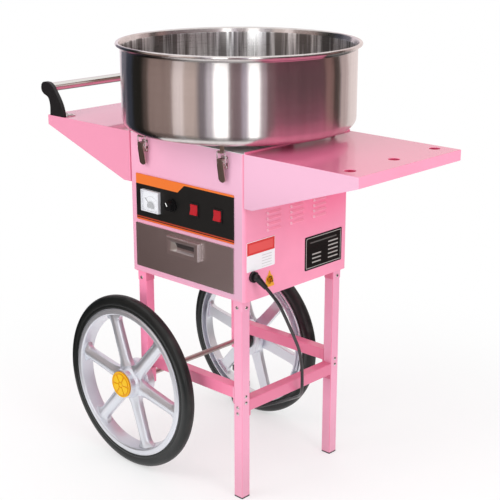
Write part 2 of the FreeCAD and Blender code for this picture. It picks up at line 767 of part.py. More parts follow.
def tyre():
    """Solid tyre with a rounded tread, seated on the rim."""
    flat = wheel_radius - tyre_corner
    side = tyre_half_width - tyre_corner
    diag = math.sqrt(0.5) * tyre_corner
    heel = 3.0
    heel_diag = heel * (1 - math.sqrt(0.5))
    half = tyre_half_width
    profile = [
        ((rim_radius, 0, -half + heel), (rim_radius, 0, half - heel)),
        ((rim_radius, 0, half - heel), (rim_radius + heel_diag, 0, half - heel_diag), (rim_radius + heel, 0, half)),
        ((rim_radius + heel, 0, half), (flat, 0, half)),
        ((flat, 0, half), (flat + diag, 0, side + diag), (wheel_radius, 0, side)),
        ((wheel_radius, 0, side), (wheel_radius, 0, -side)),
        ((wheel_radius, 0, -side), (flat + diag, 0, -side - diag), (flat, 0, -half)),
        ((flat, 0, -half), (rim_radius + heel, 0, -half)),
        ((rim_radius + heel, 0, -half), (rim_radius + heel_diag, 0, -half + heel_diag),
         (rim_radius, 0, -half + heel))]
    return turned(profile, (0, 0, 0), (0, 0, 1))


def hub_cap():
    """Disc with six raised petals; its plug sits in the hub's pocket."""
    disc = rod((0, 0, hub_front), (0, 0, 1), cap_radius, cap_thickness)
    disc = disc.makeFillet(1.4, [edge for edge in disc.Edges
                                 if edge.BoundBox.ZMin > hub_front + cap_thickness - 0.01])
    plug = rod((0, 0, hub_front - cap_plug), (0, 0, 1), hub_pocket_radius, cap_plug + 0.5)
    plug = plug.cut(rod((0, 0, hub_front - cap_plug - 1), (0, 0, 1), hub_pocket_radius - 2.0, cap_plug + 1.2))
    petals = []
    for index in range(6):
        petal = rod((cap_radius * 0.52, 0, hub_front + cap_thickness - 0.5), (0, 0, 1), 6.0, 1.4)
        petal.rotate(V(0, 0, 0), V(0, 0, 1), 30 + 60 * index)
        petals.append(petal)
    boss = rod((0, 0, hub_front + cap_thickness - 0.5), (0, 0, 1), 4.5, 1.4)
    return fuse([disc, plug, boss] + petals)


def to_wheel(shape, y_side):
    """Stand a wheel piece upright on the axle, outer side away from the body."""
    placed = shape.copy()
    placed.rotate(V(0, 0, 0), V(1, 0, 0), 90)
    placed.translate(V(axle_x, -wheel_plane, axle_z))
    return placed if y_side < 0 else mirrored_y(placed)


def axle():
    shaft = rod((axle_x, -axle_end_y, axle_z), (0, 1, 0), axle_radius, 2 * axle_end_y)
    return shaft


def axle_spacers():
    """Black bushes between the legs and the hubs."""
    result = []
    length = hub_inner_y - side_play - leg_face_y
    disc = rod((axle_x, -leg_face_y, axle_z), (0, -1, 0), bush_step_radius, length * 0.45)
    flange = rod((axle_x, -leg_face_y - length * 0.45, axle_z), (0, -1, 0), bush_radius, length * 0.55)
    ring = fuse([disc, flange]).cut(rod((axle_x, -300, axle_z), (0, 1, 0), axle_radius, 300))
    result += both_sides(ring)
    return result


def axle_retainers():
    start = pocket_floor_y + side_play
    ring = rod((axle_x, -start, axle_z), (0, -1, 0), retainer_radius, retainer_thickness)
    ring = ring.cut(rod((axle_x, -300, axle_z), (0, 1, 0), axle_radius, 300))
    return both_sides(ring)


# ---------------------------------------------------------------- push handle
def push_bar():
    half = horn_outer_y - horn_thickness + bar_socket
    return rod((bar_x, -half, bar_z), (0, 1, 0), bar_radius, 2 * half)


def horn(y_side):
    """Curved end bracket standing on the left-hand wing."""
    y = -horn_outer_y
    outline = [[(0.383, 0), (0.395, 0.186), (0.383, 0.372), (0.331, 0.505)],
               [(0.331, 0.505), (0.266, 0.565), (0.175, 0.598), (0.078, 0.652)],
               [(0.078, 0.652), (0.019, 0.711), (0.0, 0.785), (0.010, 0.864)],
               [(0.010, 0.864), (0.058, 0.951), (0.149, 0.995), (0.273, 1.0)],
               [(0.273, 1.0), (0.403, 0.984), (0.539, 0.898), (0.662, 0.745)],
               [(0.662, 0.745), (0.792, 0.572), (0.922, 0.346), (0.981, 0.160)],
               [(0.981, 0.160), (0.995, 0.106), (1.0, 0.053), (1.0, 0.0)]]
    edges = []
    for points in outline:
        curve = Part.BSplineCurve()
        curve.interpolate([V(px * horn_length - horn_reach, y, body_top + pz * horn_height) for px, pz in points])
        edges.append(curve.toShape())
    foot_start = V(horn_length - horn_reach, y, body_top)
    foot_end = V(0.383 * horn_length - horn_reach, y, body_top)
    edges.append(Part.LineSegment(foot_start, foot_end).toShape())
    body = Part.Face(Part.Wire(edges)).extrude(V(0, horn_thickness, 0))
    socket = rod((bar_x, y + horn_thickness - bar_socket, bar_z), (0, 1, 0), bar_radius, bar_socket + 1)
    body = body.cut(socket)
    return body if y_side < 0 else mirrored_y(body)


def foot_tabs():
    """Steel tabs that hold the horns down on the wing."""
    y = -horn_outer_y + horn_thickness
    start = foot_tab_inset - horn_reach
    end = start + foot_tab_length
    top = body_top + foot_tab_thickness
    tab = rounded_box(start, end, y, y + foot_tab_width, body_top, top, 1.5, V(0, 0, 1))
    middle = y + foot_tab_width / 2
    heads = [screw((start + foot_tab_screw_edge, middle, top), (0, 0, 1)),
             screw((end - foot_tab_screw_edge, middle, top), (0, 0, 1))]
    ferrule = rod((bar_x, y, bar_z), (0, 1, 0), bar_radius + ferrule_wall, ferrule_length)
    ferrule = ferrule.cut(rod((bar_x, y - 1, bar_z), (0, 1, 0), bar_radius, ferrule_length + 2))
    return both_sides(fuse([tab] + heads)) + both_sides(ferrule)


# ------------------------------------------------------------- control panel
def panel_face_y():
    return -body_half_y - panel_thickness


def control_panel():
    face = panel_face_y()
    plate = rounded_box(panel_left, panel_right, face, -body_half_y, panel_bottom, panel_top, 2.0, V(0, 1, 0))
    cuts = [box(meter_x - meter_width / 2 + 3, meter_x + meter_width / 2 - 3, face - 1, -body_half_y + 1,
                meter_z - meter_height / 2 + 3, meter_z + meter_height / 2 - 3),
            rod((knob_x, face - 1, knob_z), (0, 1, 0), knob_shaft + 2.0, panel_thickness + 2)]
    for x in rocker_x:
        half_x = rocker_width / 2 + rocker_frame - 1.0
        half_z = rocker_height / 2 + rocker_frame - 1.0
        cuts.append(box(x - half_x, x + half_x, face - 1, -body_half_y + 1, rocker_z - half_z, rocker_z + half_z))
    return plate.cut(cuts)


def meter_case():
    """Square meter housing; the dial is its floor, the window closes it."""
    face = panel_face_y()
    flange = box(meter_x - meter_width / 2, meter_x + meter_width / 2, face - meter_stand, face,
                 meter_z - meter_height / 2, meter_z + meter_height / 2)
    back = box(meter_x - meter_width / 2 + 3, meter_x + meter_width / 2 - 3, face, face + meter_depth,
               meter_z - meter_height / 2 + 3, meter_z + meter_height / 2 - 3)
    body = fuse([flange, back])
    dial = box(meter_x - meter_width / 2 + meter_wall, meter_x + meter_width / 2 - meter_wall,
               face - meter_stand - 1, face - 1.5,
               meter_z - meter_height / 2 + meter_wall, meter_z + meter_height / 2 - meter_wall)
    shaft = rod((meter_x, face - 1.6, meter_z - 13.0), (0, 1, 0), 1.0 + 0.05, 10)
    return body.cut([dial, shaft])


def meter_window():
    face = panel_face_y()
    return box(meter_x - meter_width / 2 + meter_wall, meter_x + meter_width / 2 - meter_wall,
               face - meter_stand, face - meter_stand + 1.2,
               meter_z - meter_height / 2 + meter_wall, meter_z + meter_height / 2 - meter_wall)


def meter_needle():
    """Pointer at rest on the left of the scale."""
    face = panel_face_y()
    z = meter_z - 13.0
    y = face - 3.4
    pointer = box(meter_x - 0.5, meter_x + 0.5, y, y + 0.6, z - 5, z + 26)
    pointer.rotate(V(meter_x, 0, z), V(0, 1, 0), -45)
    boss = rod((meter_x, y - 0.4, z), (0, 1, 0), 2.4, 1.6)
    pin = rod((meter_x, y + 0.5, z), (0, 1, 0), 1.0, 6.0)
    return fuse([pointer, boss, pin])


def heat_knob():
    """Fluted knob with a raised pointer, turned towards the upper left."""
    start = panel_face_y() - side_play
    skirt = rod((knob_x, start, knob_z), (0, -1, 0), knob_radius, 4.0)
    grip = cone((knob_x, start - 3.9, knob_z), (0, -1, 0), knob_radius - 2.5, knob_radius - 4.0, knob_height - 3.9)
    flutes = []
    for index in range(12):
        angle = math.radians(30 * index)
        flute_x = knob_x + (knob_radius - 1.6) * math.cos(angle)
        flute_z = knob_z + (knob_radius - 1.6) * math.sin(angle)
        flutes.append(rod((flute_x, start - 4.2, flute_z), (0, -1, 0), 1.6, knob_height))
    body = fuse([skirt, grip]).cut(flutes)
    shaft = rod((knob_x, start - 1, knob_z), (0, 1, 0), knob_shaft, 20.0)
    mark = box(knob_x - 1.2, knob_x + 1.2, start - knob_height - 0.6, start - knob_height + 1, knob_z, knob_z + 8.5)
    mark.rotate(V(knob_x, 0, knob_z), V(0, 1, 0), -35)
    return fuse([body, shaft, mark])


def knob_control():
    """Dimmer body behind the panel that carries the knob's shaft."""
    back = -body_half_y
    nut = rod((knob_x, back, knob_z), (0, 1, 0), 9.0, 3.0)
    body = box(knob_x - 16, knob_x + 16, back + 3.0, back + 27.0, knob_z - 16, knob_z + 16)
    return fuse([nut, body]).cut(rod((knob_x, back - 1, knob_z), (0, 1, 0), knob_shaft + 0.05, 22.0))


def rocker_housing(x):
    face = panel_face_y()
    half_x = rocker_width / 2 + rocker_frame
    half_z = rocker_height / 2 + rocker_frame
    flange = box(x - half_x, x + half_x, face - rocker_stand, face, rocker_z - half_z, rocker_z + half_z)
    back = box(x - half_x + 1, x + half_x - 1, face, face + rocker_depth, rocker_z - half_z + 1, rocker_z + half_z - 1)
    well = box(x - rocker_width / 2 - side_play, x + rocker_width / 2 + side_play, face - rocker_stand - 1, face + 14,
               rocker_z - rocker_height / 2 - side_play, rocker_z + rocker_height / 2 + side_play)
    pivot = rod((x - half_x + 1.4, face + rocker_pivot, rocker_z), (1, 0, 0), 1.5 + 0.05, 2 * half_x - 2.8)
    return fuse([flange, back]).cut([well, pivot])


def rocker(x):
    """Two-lobed key on a cross pin, upper lobe pressed in."""
    pivot_y = panel_face_y() + rocker_pivot
    half = rocker_height / 2
    section = [(5.0, 0), (6.9, half - 0.9), (3.6, half - 0.6), (-2.5, half - 3.8),
               (-2.5, 3.8 - half), (3.6, 0.6 - half), (6.9, 0.9 - half)]
    key = prism([(x - rocker_width / 2, pivot_y - out, rocker_z + up) for out, up in section], (rocker_width, 0, 0))
    key.rotate(V(x, pivot_y, rocker_z), V(1, 0, 0), -rocker_tilt)
    pin_half = rocker_width / 2 + rocker_frame - 1.5
    pin = rod((x - pin_half, pivot_y, rocker_z), (1, 0, 0), 1.5, 2 * pin_half)
    return fuse([key, pin])


# -------------------------------------------------------------------- drawer
def drawer_box():
    x0 = drawer_centre_x - drawer_box_half
    x1 = drawer_centre_x + drawer_box_half
    y1 = drawer_face_y + drawer_depth
    z0 = drawer_box_bottom
    z1 = z0 + drawer_box_height
    outer = box(x0, x1, drawer_face_y, y1, z0, z1)
    return outer.cut(box(x0 + drawer_wall, x1 - drawer_wall, drawer_face_y + drawer_wall, y1 - drawer_wall,
                         z0 + drawer_wall, z1 + 1))


def drawer_front():
    return rounded_box(drawer_left, drawer_right, drawer_face_y - drawer_front_thickness, drawer_face_y,
                       drawer_bottom, drawer_top, 1.5, V(0, 1, 0))


def pull_dish(front_y, grow):
    """Tapering finger dish, front_y being the pull's front face."""
    middle_z = (pull_bottom + pull_top) / 2
    loops = []
    for y, (left, right, low, high) in ((front_y, dish_front), (front_y + dish_depth + grow, dish_back)):
        corners = [V(left - grow, y, middle_z + low - grow), V(right + grow, y, middle_z + low - grow),
                   V(right + grow, y, middle_z + high + grow), V(left - grow, y, middle_z + high + grow)]
        loops.append(Part.makePolygon(corners + corners[:1]))
    return Part.makeLoft(loops, True, True)


def drawer_pull():
    """Bin pull, open underneath, with side flanges and a finger dish."""
    face = drawer_face_y - drawer_front_thickness
    out = face - pull_depth
    shell = box(-pull_half_width, pull_half_width, out, face, pull_bottom, pull_top)
    shell = shell.makeFillet(4.0, [edge for edge in shell.Edges
                                   if edge.BoundBox.YMax < out + 0.01 and edge.BoundBox.ZMax > pull_bottom + 0.01])
    hollow = box(-pull_half_width + pull_wall, pull_half_width - pull_wall, out + pull_wall, face + 1,
                 pull_bottom - 1, pull_top - pull_wall)
    hollow = hollow.makeFillet(2.6, [edge for edge in hollow.Edges
                                     if edge.BoundBox.YMax < out + pull_wall + 0.01
                                     and edge.BoundBox.ZMax > pull_bottom + 0.01])
    return fuse([shell.cut(hollow), pull_dish(out, pull_wall)]).cut(pull_dish(out, 0.0))


def drawer_runners():
    """Angled shelves that carry the drawer inside the body."""
    result = []
    top = drawer_box_bottom - side_play
    y0 = -body_half_y + body_corner
    y1 = drawer_face_y + drawer_depth
    for side in (-1, 1):
        wall = side * (body_half_x - sheet)
        edge = drawer_centre_x + side * drawer_box_half
        shelf = box(wall, edge - side * runner_shelf, y0, y1, top - runner_sheet, top)
        guard_x = edge + side * side_play
        guard = box(guard_x, guard_x + side * runner_sheet, y0, y1, top - runner_sheet, top + runner_guard)
        flange = box(wall, wall - side * runner_sheet, y0, y1, top - runner_sheet, top + runner_guard)
        result.append(fuse([shelf, guard, flange]))
    return result


# ------------------------------------------------------------ spinner, motor
def bearing_housing():
    """Flanged bearing under the deck; the motor is bolted to it."""
    flange = rod((0, 0, deck_bottom - 4.0), (0, 0, 1), motor_radius, 4.0)
    barrel = rod((0, 0, motor_top), (0, 0, 1), bearing_radius, deck_bottom - motor_top)
    body = fuse([flange, barrel])
    return body.cut(rod((0, 0, motor_top - 1), (0, 0, 1), spindle_radius + spindle_play, deck_bottom - motor_top + 2))


def motor():
    low = motor_top - motor_height
    can = rod((0, 0, low), (0, 0, 1), motor_radius, motor_height)
    can = can.makeFillet(4.0, [edge for edge in can.Edges if isinstance(edge.Curve, Part.Circle)])
    ribs = []
    for index in range(12):
        rib = box(motor_radius - 2, motor_radius + 4, -1.5, 1.5, low + 14, motor_top - 14)
        rib.rotate(V(0, 0, 0), V(0, 0, 1), 30 * index)
        ribs.append(rib)
    bore = rod((0, 0, motor_top - bearing_bore_length), (0, 0, 1), spindle_radius + spindle_play, 2 * bearing_bore_length)
    return fuse([can] + ribs).cut(bore)


def spindle():
    low = motor_top - bearing_bore_length + 1.0
    shaft = rod((0, 0, low), (0, 0, 1), spindle_radius, head_bottom + spindle_reach - low)
    thrust = rod((0, 0, body_top + side_play), (0, 0, 1), spindle_radius + thrust_flange, thrust_height)
    return fuse([shaft, thrust])


def spinner_pan():
    """Turning pan that carries the heater band."""
    foot_radius = head_radius - pan_slope
    outer = cone((0, 0, head_bottom), (0, 0, 1), foot_radius, head_radius, pan_slope)
    wall = rod((0, 0, head_bottom + pan_slope), (0, 0, 1), head_radius, pan_wall_height)
    inner = cone((0, 0, head_bottom + head_wall), (0, 0, 1), foot_radius - head_wall, band_outer, pan_slope)
    inner_wall = rod((0, 0, band_bottom - 0.01), (0, 0, 1), band_outer, pan_wall_height)
    boss = rod((0, 0, head_bottom), (0, 0, 1), spindle_radius + pan_boss_wall, pan_boss_height)
    pan = fuse([outer, wall]).cut([inner, inner_wall])
    bore = rod((0, 0, head_bottom - 1), (0, 0, 1), spindle_radius, pan_boss_height + 2)
    return fuse([pan, boss]).cut(bore)


def heater_band():
    """Slotted band between the pan and the cap."""
    ring = rod((0, 0, band_bottom), (0, 0, 1), band_outer, band_height)
    inner = rod((0, 0, band_bottom - 1), (0, 0, 1), band_outer - band_thickness, band_height + 2)
    ring = ring.cut(inner)
    slots = []
    for index in range(band_slot_count // 2):
        slot = box(-2 * band_outer, 2 * band_outer, -band_slot_width / 2, band_slot_width / 2,
                   band_bottom + band_slot_edge, band_bottom + band_height - band_slot_edge)
        slot.rotate(V(0, 0, 0), V(0, 0, 1), index * 360.0 / band_slot_count)
        slots.append(slot)
    return ring.cut(slots)


def spinner_cap():
    """Domed cap with the sugar mouth, held on the spindle by three arms."""
    low = cap_bottom
    neck_foot = sugar_mouth + cap_sheet - 1.0
    plate = rod((0, 0, low), (0, 0, 1), band_outer, cap_sheet)
    plate = plate.cut(rod((0, 0, low - 1), (0, 0, 1), sugar_mouth, cap_sheet + 2))
    neck = cone((0, 0, low + cap_sheet - 1.0), (0, 0, 1), neck_foot, neck_foot + sugar_neck_flare, sugar_neck_height)
    neck = neck.cut(cone((0, 0, low + cap_sheet - 1.1), (0, 0, 1), sugar_mouth - 0.01,
                         sugar_mouth + sugar_neck_flare, sugar_neck_height + 0.4))
    arms = []
    for index in range(3):
        arm = box(0, neck_foot, -cap_arm_width / 2, cap_arm_width / 2, low, low + cap_sheet)
        arm.rotate(V(0, 0, 0), V(0, 0, 1), 120 * index)
        arms.append(arm)
    nut_bottom = head_bottom + spindle_reach
    nut = rod((0, 0, nut_bottom), (0, 0, 1), spindle_radius + cap_sheet, low + 2 * cap_sheet - nut_bottom)
    return fuse([plate, neck, nut] + arms)


# ------------------------------------------------- right-hand wall and supply
def label_plate():
    return rounded_box(body_half_x, body_half_x + plate_sheet, label_y[0], label_y[1],
                       label_z[0], label_z[1], 2.0, V(1, 0, 0))


def data_plate():
    plate = rounded_box(body_half_x, body_half_x + plate_sheet, data_plate_y[0], data_plate_y[1],
                        data_plate_z[0], data_plate_z[1], 3.0, V(1, 0, 0))
    rivets = []
    for y in (data_plate_y[0] + 5, data_plate_y[1] - 5):
        for z in (data_plate_z[0] + 5, data_plate_z[1] - 5):
            rivets.append(cone((body_half_x + plate_sheet - 0.2, y, z), (1, 0, 0), 2.4, 1.4, 1.4))
    return fuse([plate] + rivets)


def earth_terminal():
    disc = rod((body_half_x, earth_y, earth_z), (1, 0, 0), earth_disc, plate_sheet)
    stud = rod((body_half_x, earth_y, earth_z), (1, 0, 0), 2.5, 9.0)
    nut_points = []
    for index in range(6):
        angle = math.radians(60 * index)
        nut_points.append((body_half_x + plate_sheet - 0.1, earth_y + 5.0 * math.cos(angle),
                           earth_z + 5.0 * math.sin(angle)))
    nut = prism(nut_points, (4.0, 0, 0))
    return fuse([disc, stud, nut])


def cable_gland():
    """Angled strain relief: round flange on the wall, elbow and tapering tail."""
    elbow = V(gland_elbow_x, gland_y, gland_z)
    tip = V(*gland_tip)
    nut = rod((body_half_x, gland_y, gland_z), (1, 0, 0), gland_flange, gland_flange_length)
    neck = rod((body_half_x - sheet - 2, gland_y, gland_z), (1, 0, 0), gland_elbow - 1.0,
               gland_elbow_x - body_half_x + sheet + 2)
    ball = Part.makeSphere(gland_elbow, elbow)
    axis = tip - elbow
    tail = Part.makeCone(gland_elbow - 0.6, gland_tip_radius, axis.Length, elbow, axis)
    return fuse([nut, neck, ball, tail])


def bent_path(points):
    """Straight runs joined by tangent arcs."""
    corners = [V(*p) for p in points]
    edges = []
    start = corners[0]
    for index in range(1, len(corners) - 1):
        corner = corners[index]
        back = (corners[index - 1] - corner)
        ahead = (corners[index + 1] - corner)
        cut = cord_bend_share * min(back.Length, ahead.Length)
        back.normalize()
        ahead.normalize()
        half_turn = (math.pi - back.getAngle(ahead)) / 2
        radius = cut / math.tan(half_turn)
        middle = back + ahead
        middle.normalize()
        centre = corner + middle * (radius / math.cos(half_turn))
        first = corner + back * cut
        last = corner + ahead * cut
        edges.append(Part.LineSegment(start, first).toShape())
        edges.append(Part.Arc(first, centre - middle * radius, last).toShape())
        start = last
    edges.append(Part.LineSegment(start, corners[-1]).toShape())
    return Part.Wire(edges)


def supply_cord():
    """Free stretch down to the floor and the short run from the coil to the plug."""
    points = list(cord_points)
    last = V(*points[-1])
    before = V(*points[-2])
    reach = last + (last - before).normalize() * coil_entry
    points[-1] = (reach.x, reach.y, reach.z)
    path = bent_path(points)
    start = V(*points[0])
    circle = Part.Wire(Part.Circle(start, V(*points[1]) - start, cord_radius).toShape())
    inner, outer, height = coil_sizes()
    middle = outer - cord_radius
    clear = math.sqrt(outer ** 2 - middle ** 2) - coil_entry
    run = rod((clear, 0, height - cord_radius), (1, 0, 0), cord_radius, coil_exit_run - clear)
    return [path.makePipeShell([circle], True, False), at_coil_exit(run)]


def at_coil_exit(shape):
    """Move a piece drawn along +X to where the last turn leaves the coil."""
    inner, outer, height = coil_sizes()
    angle = math.radians(coil_exit_angle)
    middle = outer - cord_radius
    shape.rotate(V(0, 0, 0), V(0, 0, 1), coil_exit_angle + 90)
    shape.translate(V(coil_centre_x + middle * math.cos(angle), coil_centre_y + middle * math.sin(angle), 0))
    return shape


def coil_sizes():
    half = coil_turns_across * cord_radius
    return coil_radius - half, coil_radius + half, coil_layers * 2 * cord_radius


def cord_coil():
    """Outer shape of the wound rest of the cord, lying on the floor."""
    inner, outer, height = coil_sizes()
    ring = rod((coil_centre_x, coil_centre_y, 0), (0, 0, 1), outer, height)
    ring = ring.cut(rod((coil_centre_x, coil_centre_y, -1), (0, 0, 1), inner, height + 2))
    return ring.makeFillet(cord_radius * 0.9, [edge for edge in ring.Edges if isinstance(edge.Curve, Part.Circle)])


def plug():
    """Flat two-pin plug lying beside the coil."""
    inner, outer, height = coil_sizes()
    start = coil_exit_run
    middle = height - cord_radius
    tail = cone((start, 0, middle), (1, 0, 0), plug_tail_radius, plug_tail_radius + 2.0, plug_tail_length + 2.0)
    front = start + plug_tail_length
    body = box(front, front + plug_length, -plug_width / 2, plug_width / 2, 0, plug_height)
    body = body.makeFillet(4.0, [edge for edge in body.Edges if along(edge, V(1, 0, 0))])
    pieces = [tail, body]
    for side in (-1, 1):
        pieces.append(rod((front + plug_length - 1, side * plug_pin_spacing / 2, middle), (1, 0, 0),
                          plug_pin_radius, plug_pin_length + 1))
    return at_coil_exit(fuse(pieces))


# -------------------------------------------------------------------- output
def save(name, pieces):
    shapes = []
    for piece in pieces if isinstance(pieces, list) else [pieces]:
        moved = piece.copy()
        moved.translate(V(centre_x, 0, 0))
        shapes += moved.Solids
    shape = shapes[0] if len(shapes) == 1 else Part.Compound(shapes)
    shape.exportStep("parts/" + name + ".step")


def main():
    os.makedirs("parts", exist_ok=True)
    rim = wheel_rim()
    rubber = tyre()
    cap = hub_cap()
    hole_rows = [cone_row_y + step * cone_hole_pitch for step in (-1, 0, 1)]
    pieces = {
        "cabinet": cabinet(),
        "deck_plate": deck_plate(),
        "wing_right": wing(wing_reach_right, 1, hole_rows),
        "wing_left": wing(wing_reach_left, -1, []),
        "bowl": bowl(),
        "bowl_buffers": bowl_buffers(),
        "bowl_catches": catches(),
        "leg_front_right": leg(1, -1, foot_plate),
        "leg_rear_right": leg(1, 1, foot_plate),
        "leg_front_left": leg(-1, -1, left_leg_end),
        "leg_rear_left": leg(-1, 1, left_leg_end),
        "leg_plugs": [foot_plug(1, -1, foot_plate), foot_plug(1, 1, foot_plate)],
        "leg_collars": [collar(x, y) for x in (-1, 1) for y in (-1, 1)],
        "side_rail": side_rail(),
        "cross_rails": [cross_rail(-1), cross_rail(1)],
        "frame_screws": frame_screws(),
        "axle": [axle()] + axle_retainers(),
        "axle_bushes": axle_spacers(),
        "wheel_front": to_wheel(rim, -1),
        "wheel_rear": to_wheel(rim, 1),
        "tyre_front": to_wheel(rubber, -1),
        "tyre_rear": to_wheel(rubber, 1),
        "hub_cap_front": to_wheel(cap, -1),
        "hub_cap_rear": to_wheel(cap, 1),
        "push_bar": push_bar(),
        "horns": [horn(-1), horn(1)],
        "horn_tabs": foot_tabs(),
        "control_panel": control_panel(),
        "meter_case": meter_case(),
        "meter_window": meter_window(),
        "meter_needle": meter_needle(),
        "heat_knob": heat_knob(),
        "knob_control": knob_control(),
        "rocker_housings": [rocker_housing(x) for x in rocker_x],
        "rocker_heat": rocker(rocker_x[0]),
        "rocker_motor": rocker(rocker_x[1]),
        "drawer_box": drawer_box(),
        "drawer_front": drawer_front(),
        "drawer_pull": drawer_pull(),
        "drawer_runners": drawer_runners(),
        "bearing_housing": bearing_housing(),
        "motor": motor(),
        "spindle": spindle(),
        "spinner_pan": spinner_pan(),
        "heater_band": heater_band(),
        "spinner_cap": spinner_cap(),
        "side_plates": [label_plate(), data_plate(), earth_terminal()],
        "cable_gland": cable_gland(),
        "supply_cord": supply_cord(),
        "cord_coil": cord_coil(),
        "plug": plug(),
    }
    bases = []
    for number, x in enumerate(latch_x):
        base = latch_base(x)
        lever = latch_lever(x)
        bail = latch_bail(x)
        bases += both_sides(base)
        side = ("left", "right")[number]
        pieces["latch_lever_front_" + side] = lever
        pieces["latch_lever_rear_" + side] = mirrored_y(lever)
        pieces["latch_bail_front_" + side] = bail
        pieces["latch_bail_rear_" + side] = mirrored_y(bail)
    pieces["latch_bases"] = bases
    for name, shape in pieces.items():
        save(name, shape)


main()
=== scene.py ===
"""Candy floss machine on a two-wheeled cart: finishes, light and camera round its CAD frame."""
import json
import math

import bmesh
import bpy
from bpy.props import FloatProperty, FloatVectorProperty, IntProperty, PointerProperty
from bpy.types import Operator, Panel, PropertyGroup
from mathutils import Matrix, Vector


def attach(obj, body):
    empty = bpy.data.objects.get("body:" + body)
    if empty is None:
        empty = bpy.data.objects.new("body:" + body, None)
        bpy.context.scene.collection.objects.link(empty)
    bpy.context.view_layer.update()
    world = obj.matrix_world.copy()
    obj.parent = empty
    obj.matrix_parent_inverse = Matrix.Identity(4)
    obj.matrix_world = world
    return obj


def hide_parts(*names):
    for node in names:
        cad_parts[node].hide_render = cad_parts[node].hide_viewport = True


bl_info = {
    "name": "Candy floss cart",
    "version": (1, 0, 0),
    "blender": (4, 5, 0),
    "location": "3D View > Sidebar > Floss Cart",
    "description": "Builds the finished candy floss machine round its CAD frame",
    "category": "Object",
}

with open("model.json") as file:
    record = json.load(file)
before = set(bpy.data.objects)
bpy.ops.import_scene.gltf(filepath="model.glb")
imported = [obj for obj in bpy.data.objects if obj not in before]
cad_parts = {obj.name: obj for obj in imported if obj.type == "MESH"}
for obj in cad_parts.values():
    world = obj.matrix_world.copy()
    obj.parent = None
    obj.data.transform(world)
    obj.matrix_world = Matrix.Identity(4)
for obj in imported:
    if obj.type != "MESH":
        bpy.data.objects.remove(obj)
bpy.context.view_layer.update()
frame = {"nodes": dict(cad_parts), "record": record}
NODES = frame["nodes"]
BODIES = {node: body for body, members in frame["record"]["behaviour"]["bodies"].items()
          for node in members}
MM = 0.001
SHIFT = 9.5 * MM                # the bowl's axis in the row frame


# ------------------------------------------------------------------ node trees
def worked(operation):
    """Method that puts one math node behind a field."""
    return lambda field, *others: field.sum(operation, field, *others)


class Field:
    """A node's socket that ordinary arithmetic works on."""

    def __init__(self, tree, socket):
        self.tree = tree
        self.socket = socket

    def sum(self, operation, *values):
        return self.tree.node("ShaderNodeMath", {"operation": operation}, dict(enumerate(values)))

    def __rsub__(self, other):
        return self.sum("SUBTRACT", other, self)

    __add__ = __radd__ = worked("ADD")
    __sub__ = worked("SUBTRACT")
    __mul__ = __rmul__ = worked("MULTIPLY")
    __truediv__ = worked("DIVIDE")
    __pow__ = worked("POWER")
    __abs__ = worked("ABSOLUTE")
    most = worked("MAXIMUM")
    angle = worked("ARCTAN2")
    fraction = worked("FRACT")

    def step(self, low, high):
        """0 up to low, 1 from high on, smooth between; low may be the larger."""
        ends = (low, high, 0.0, 1.0) if low < high else (high, low, 1.0, 0.0)
        return self.tree.node("ShaderNodeMapRange", {"interpolation_type": "SMOOTHSTEP"},
                              dict(enumerate((self,) + ends)))

    def within(self, low, high, soft):
        return self.step(low - soft, low + soft) * self.step(high + soft, high - soft)

    def other(self, name):
        return Field(self.tree, self.socket.node.outputs[name])


class Tree:
    """Adds nodes to one node tree."""

    def __init__(self, tree):
        self.tree = tree

    def node(self, kind, settings=None, inputs=None, output=0):
        made = self.tree.nodes.new(kind)
        for key, value in (settings or {}).items():
            setattr(made, key, value)
        for key, value in (inputs or {}).items():
            self.feed(made.inputs[key], value)
        return Field(self, made.outputs[output]) if made.outputs else made

    def feed(self, socket, value):
        if isinstance(value, Field):
            self.tree.links.new(value.socket, socket)
        elif value is not None:
            socket.default_value = value


class Paint(Tree):
    """Shader tree of one material or of the world."""

    def point(self):
        return self.node("ShaderNodeTexCoord", output="Object")

    def place(self):
        """The point, its x from the bowl's axis, its y and its z; the last three in millimetres."""
        point = self.point()
        apart = self.node("ShaderNodeSeparateXYZ", None, {0: point})
        return point, (apart - SHIFT) / MM, apart.other("Y") / MM, apart.other("Z") / MM

    def noise(self, point, scale, detail=3.0, rough=0.5):
        return self.node("ShaderNodeTexNoise", None,
                         {"Vector": point, "Scale": scale, "Detail": detail, "Roughness": rough})

    def drawn_lines(self, point, along):
        """Fine lines of rolled steel; along is the noise's scale on each axis."""
        pulled = self.node("ShaderNodeVectorMath", {"operation": "MULTIPLY"}, {0: point, 1: along})
        return self.noise(pulled, 1.0, 3.0, 0.6)

    def blend(self, share, low, high):
        return self.node("ShaderNodeMix", {"data_type": "RGBA"}, {0: share, 6: low, 7: high}, 2)

    def bump(self, height, strength, distance=0.0003):
        return self.node("ShaderNodeBump", None,
                         {"Strength": strength, "Distance": distance, "Height": height})

    def seen(self):
        """1 for the camera and for what metal and glass show, 0 for the light on the object."""
        light = self.node("ShaderNodeLightPath")
        return light.most(light.other("Is Glossy Ray")).most(light.other("Is Transmission Ray"))


def fresh(owner):
    """The emptied node tree of a material or a world."""
    owner.use_nodes = True
    owner.node_tree.nodes.clear()
    return Paint(owner.node_tree)


def tone(red, green, blue):
    """Linear colour with alpha from display values of 0 to 255."""
    return tuple(((c / 255.0 + 0.055) / 1.055) ** 2.4 if c > 10 else c / 255.0 / 12.92
                 for c in (red, green, blue)) + (1.0,)


def shade(colour, factor, most=1.0):
    return tuple(min(most, c * factor) for c in colour[:3]) + (1.0,)


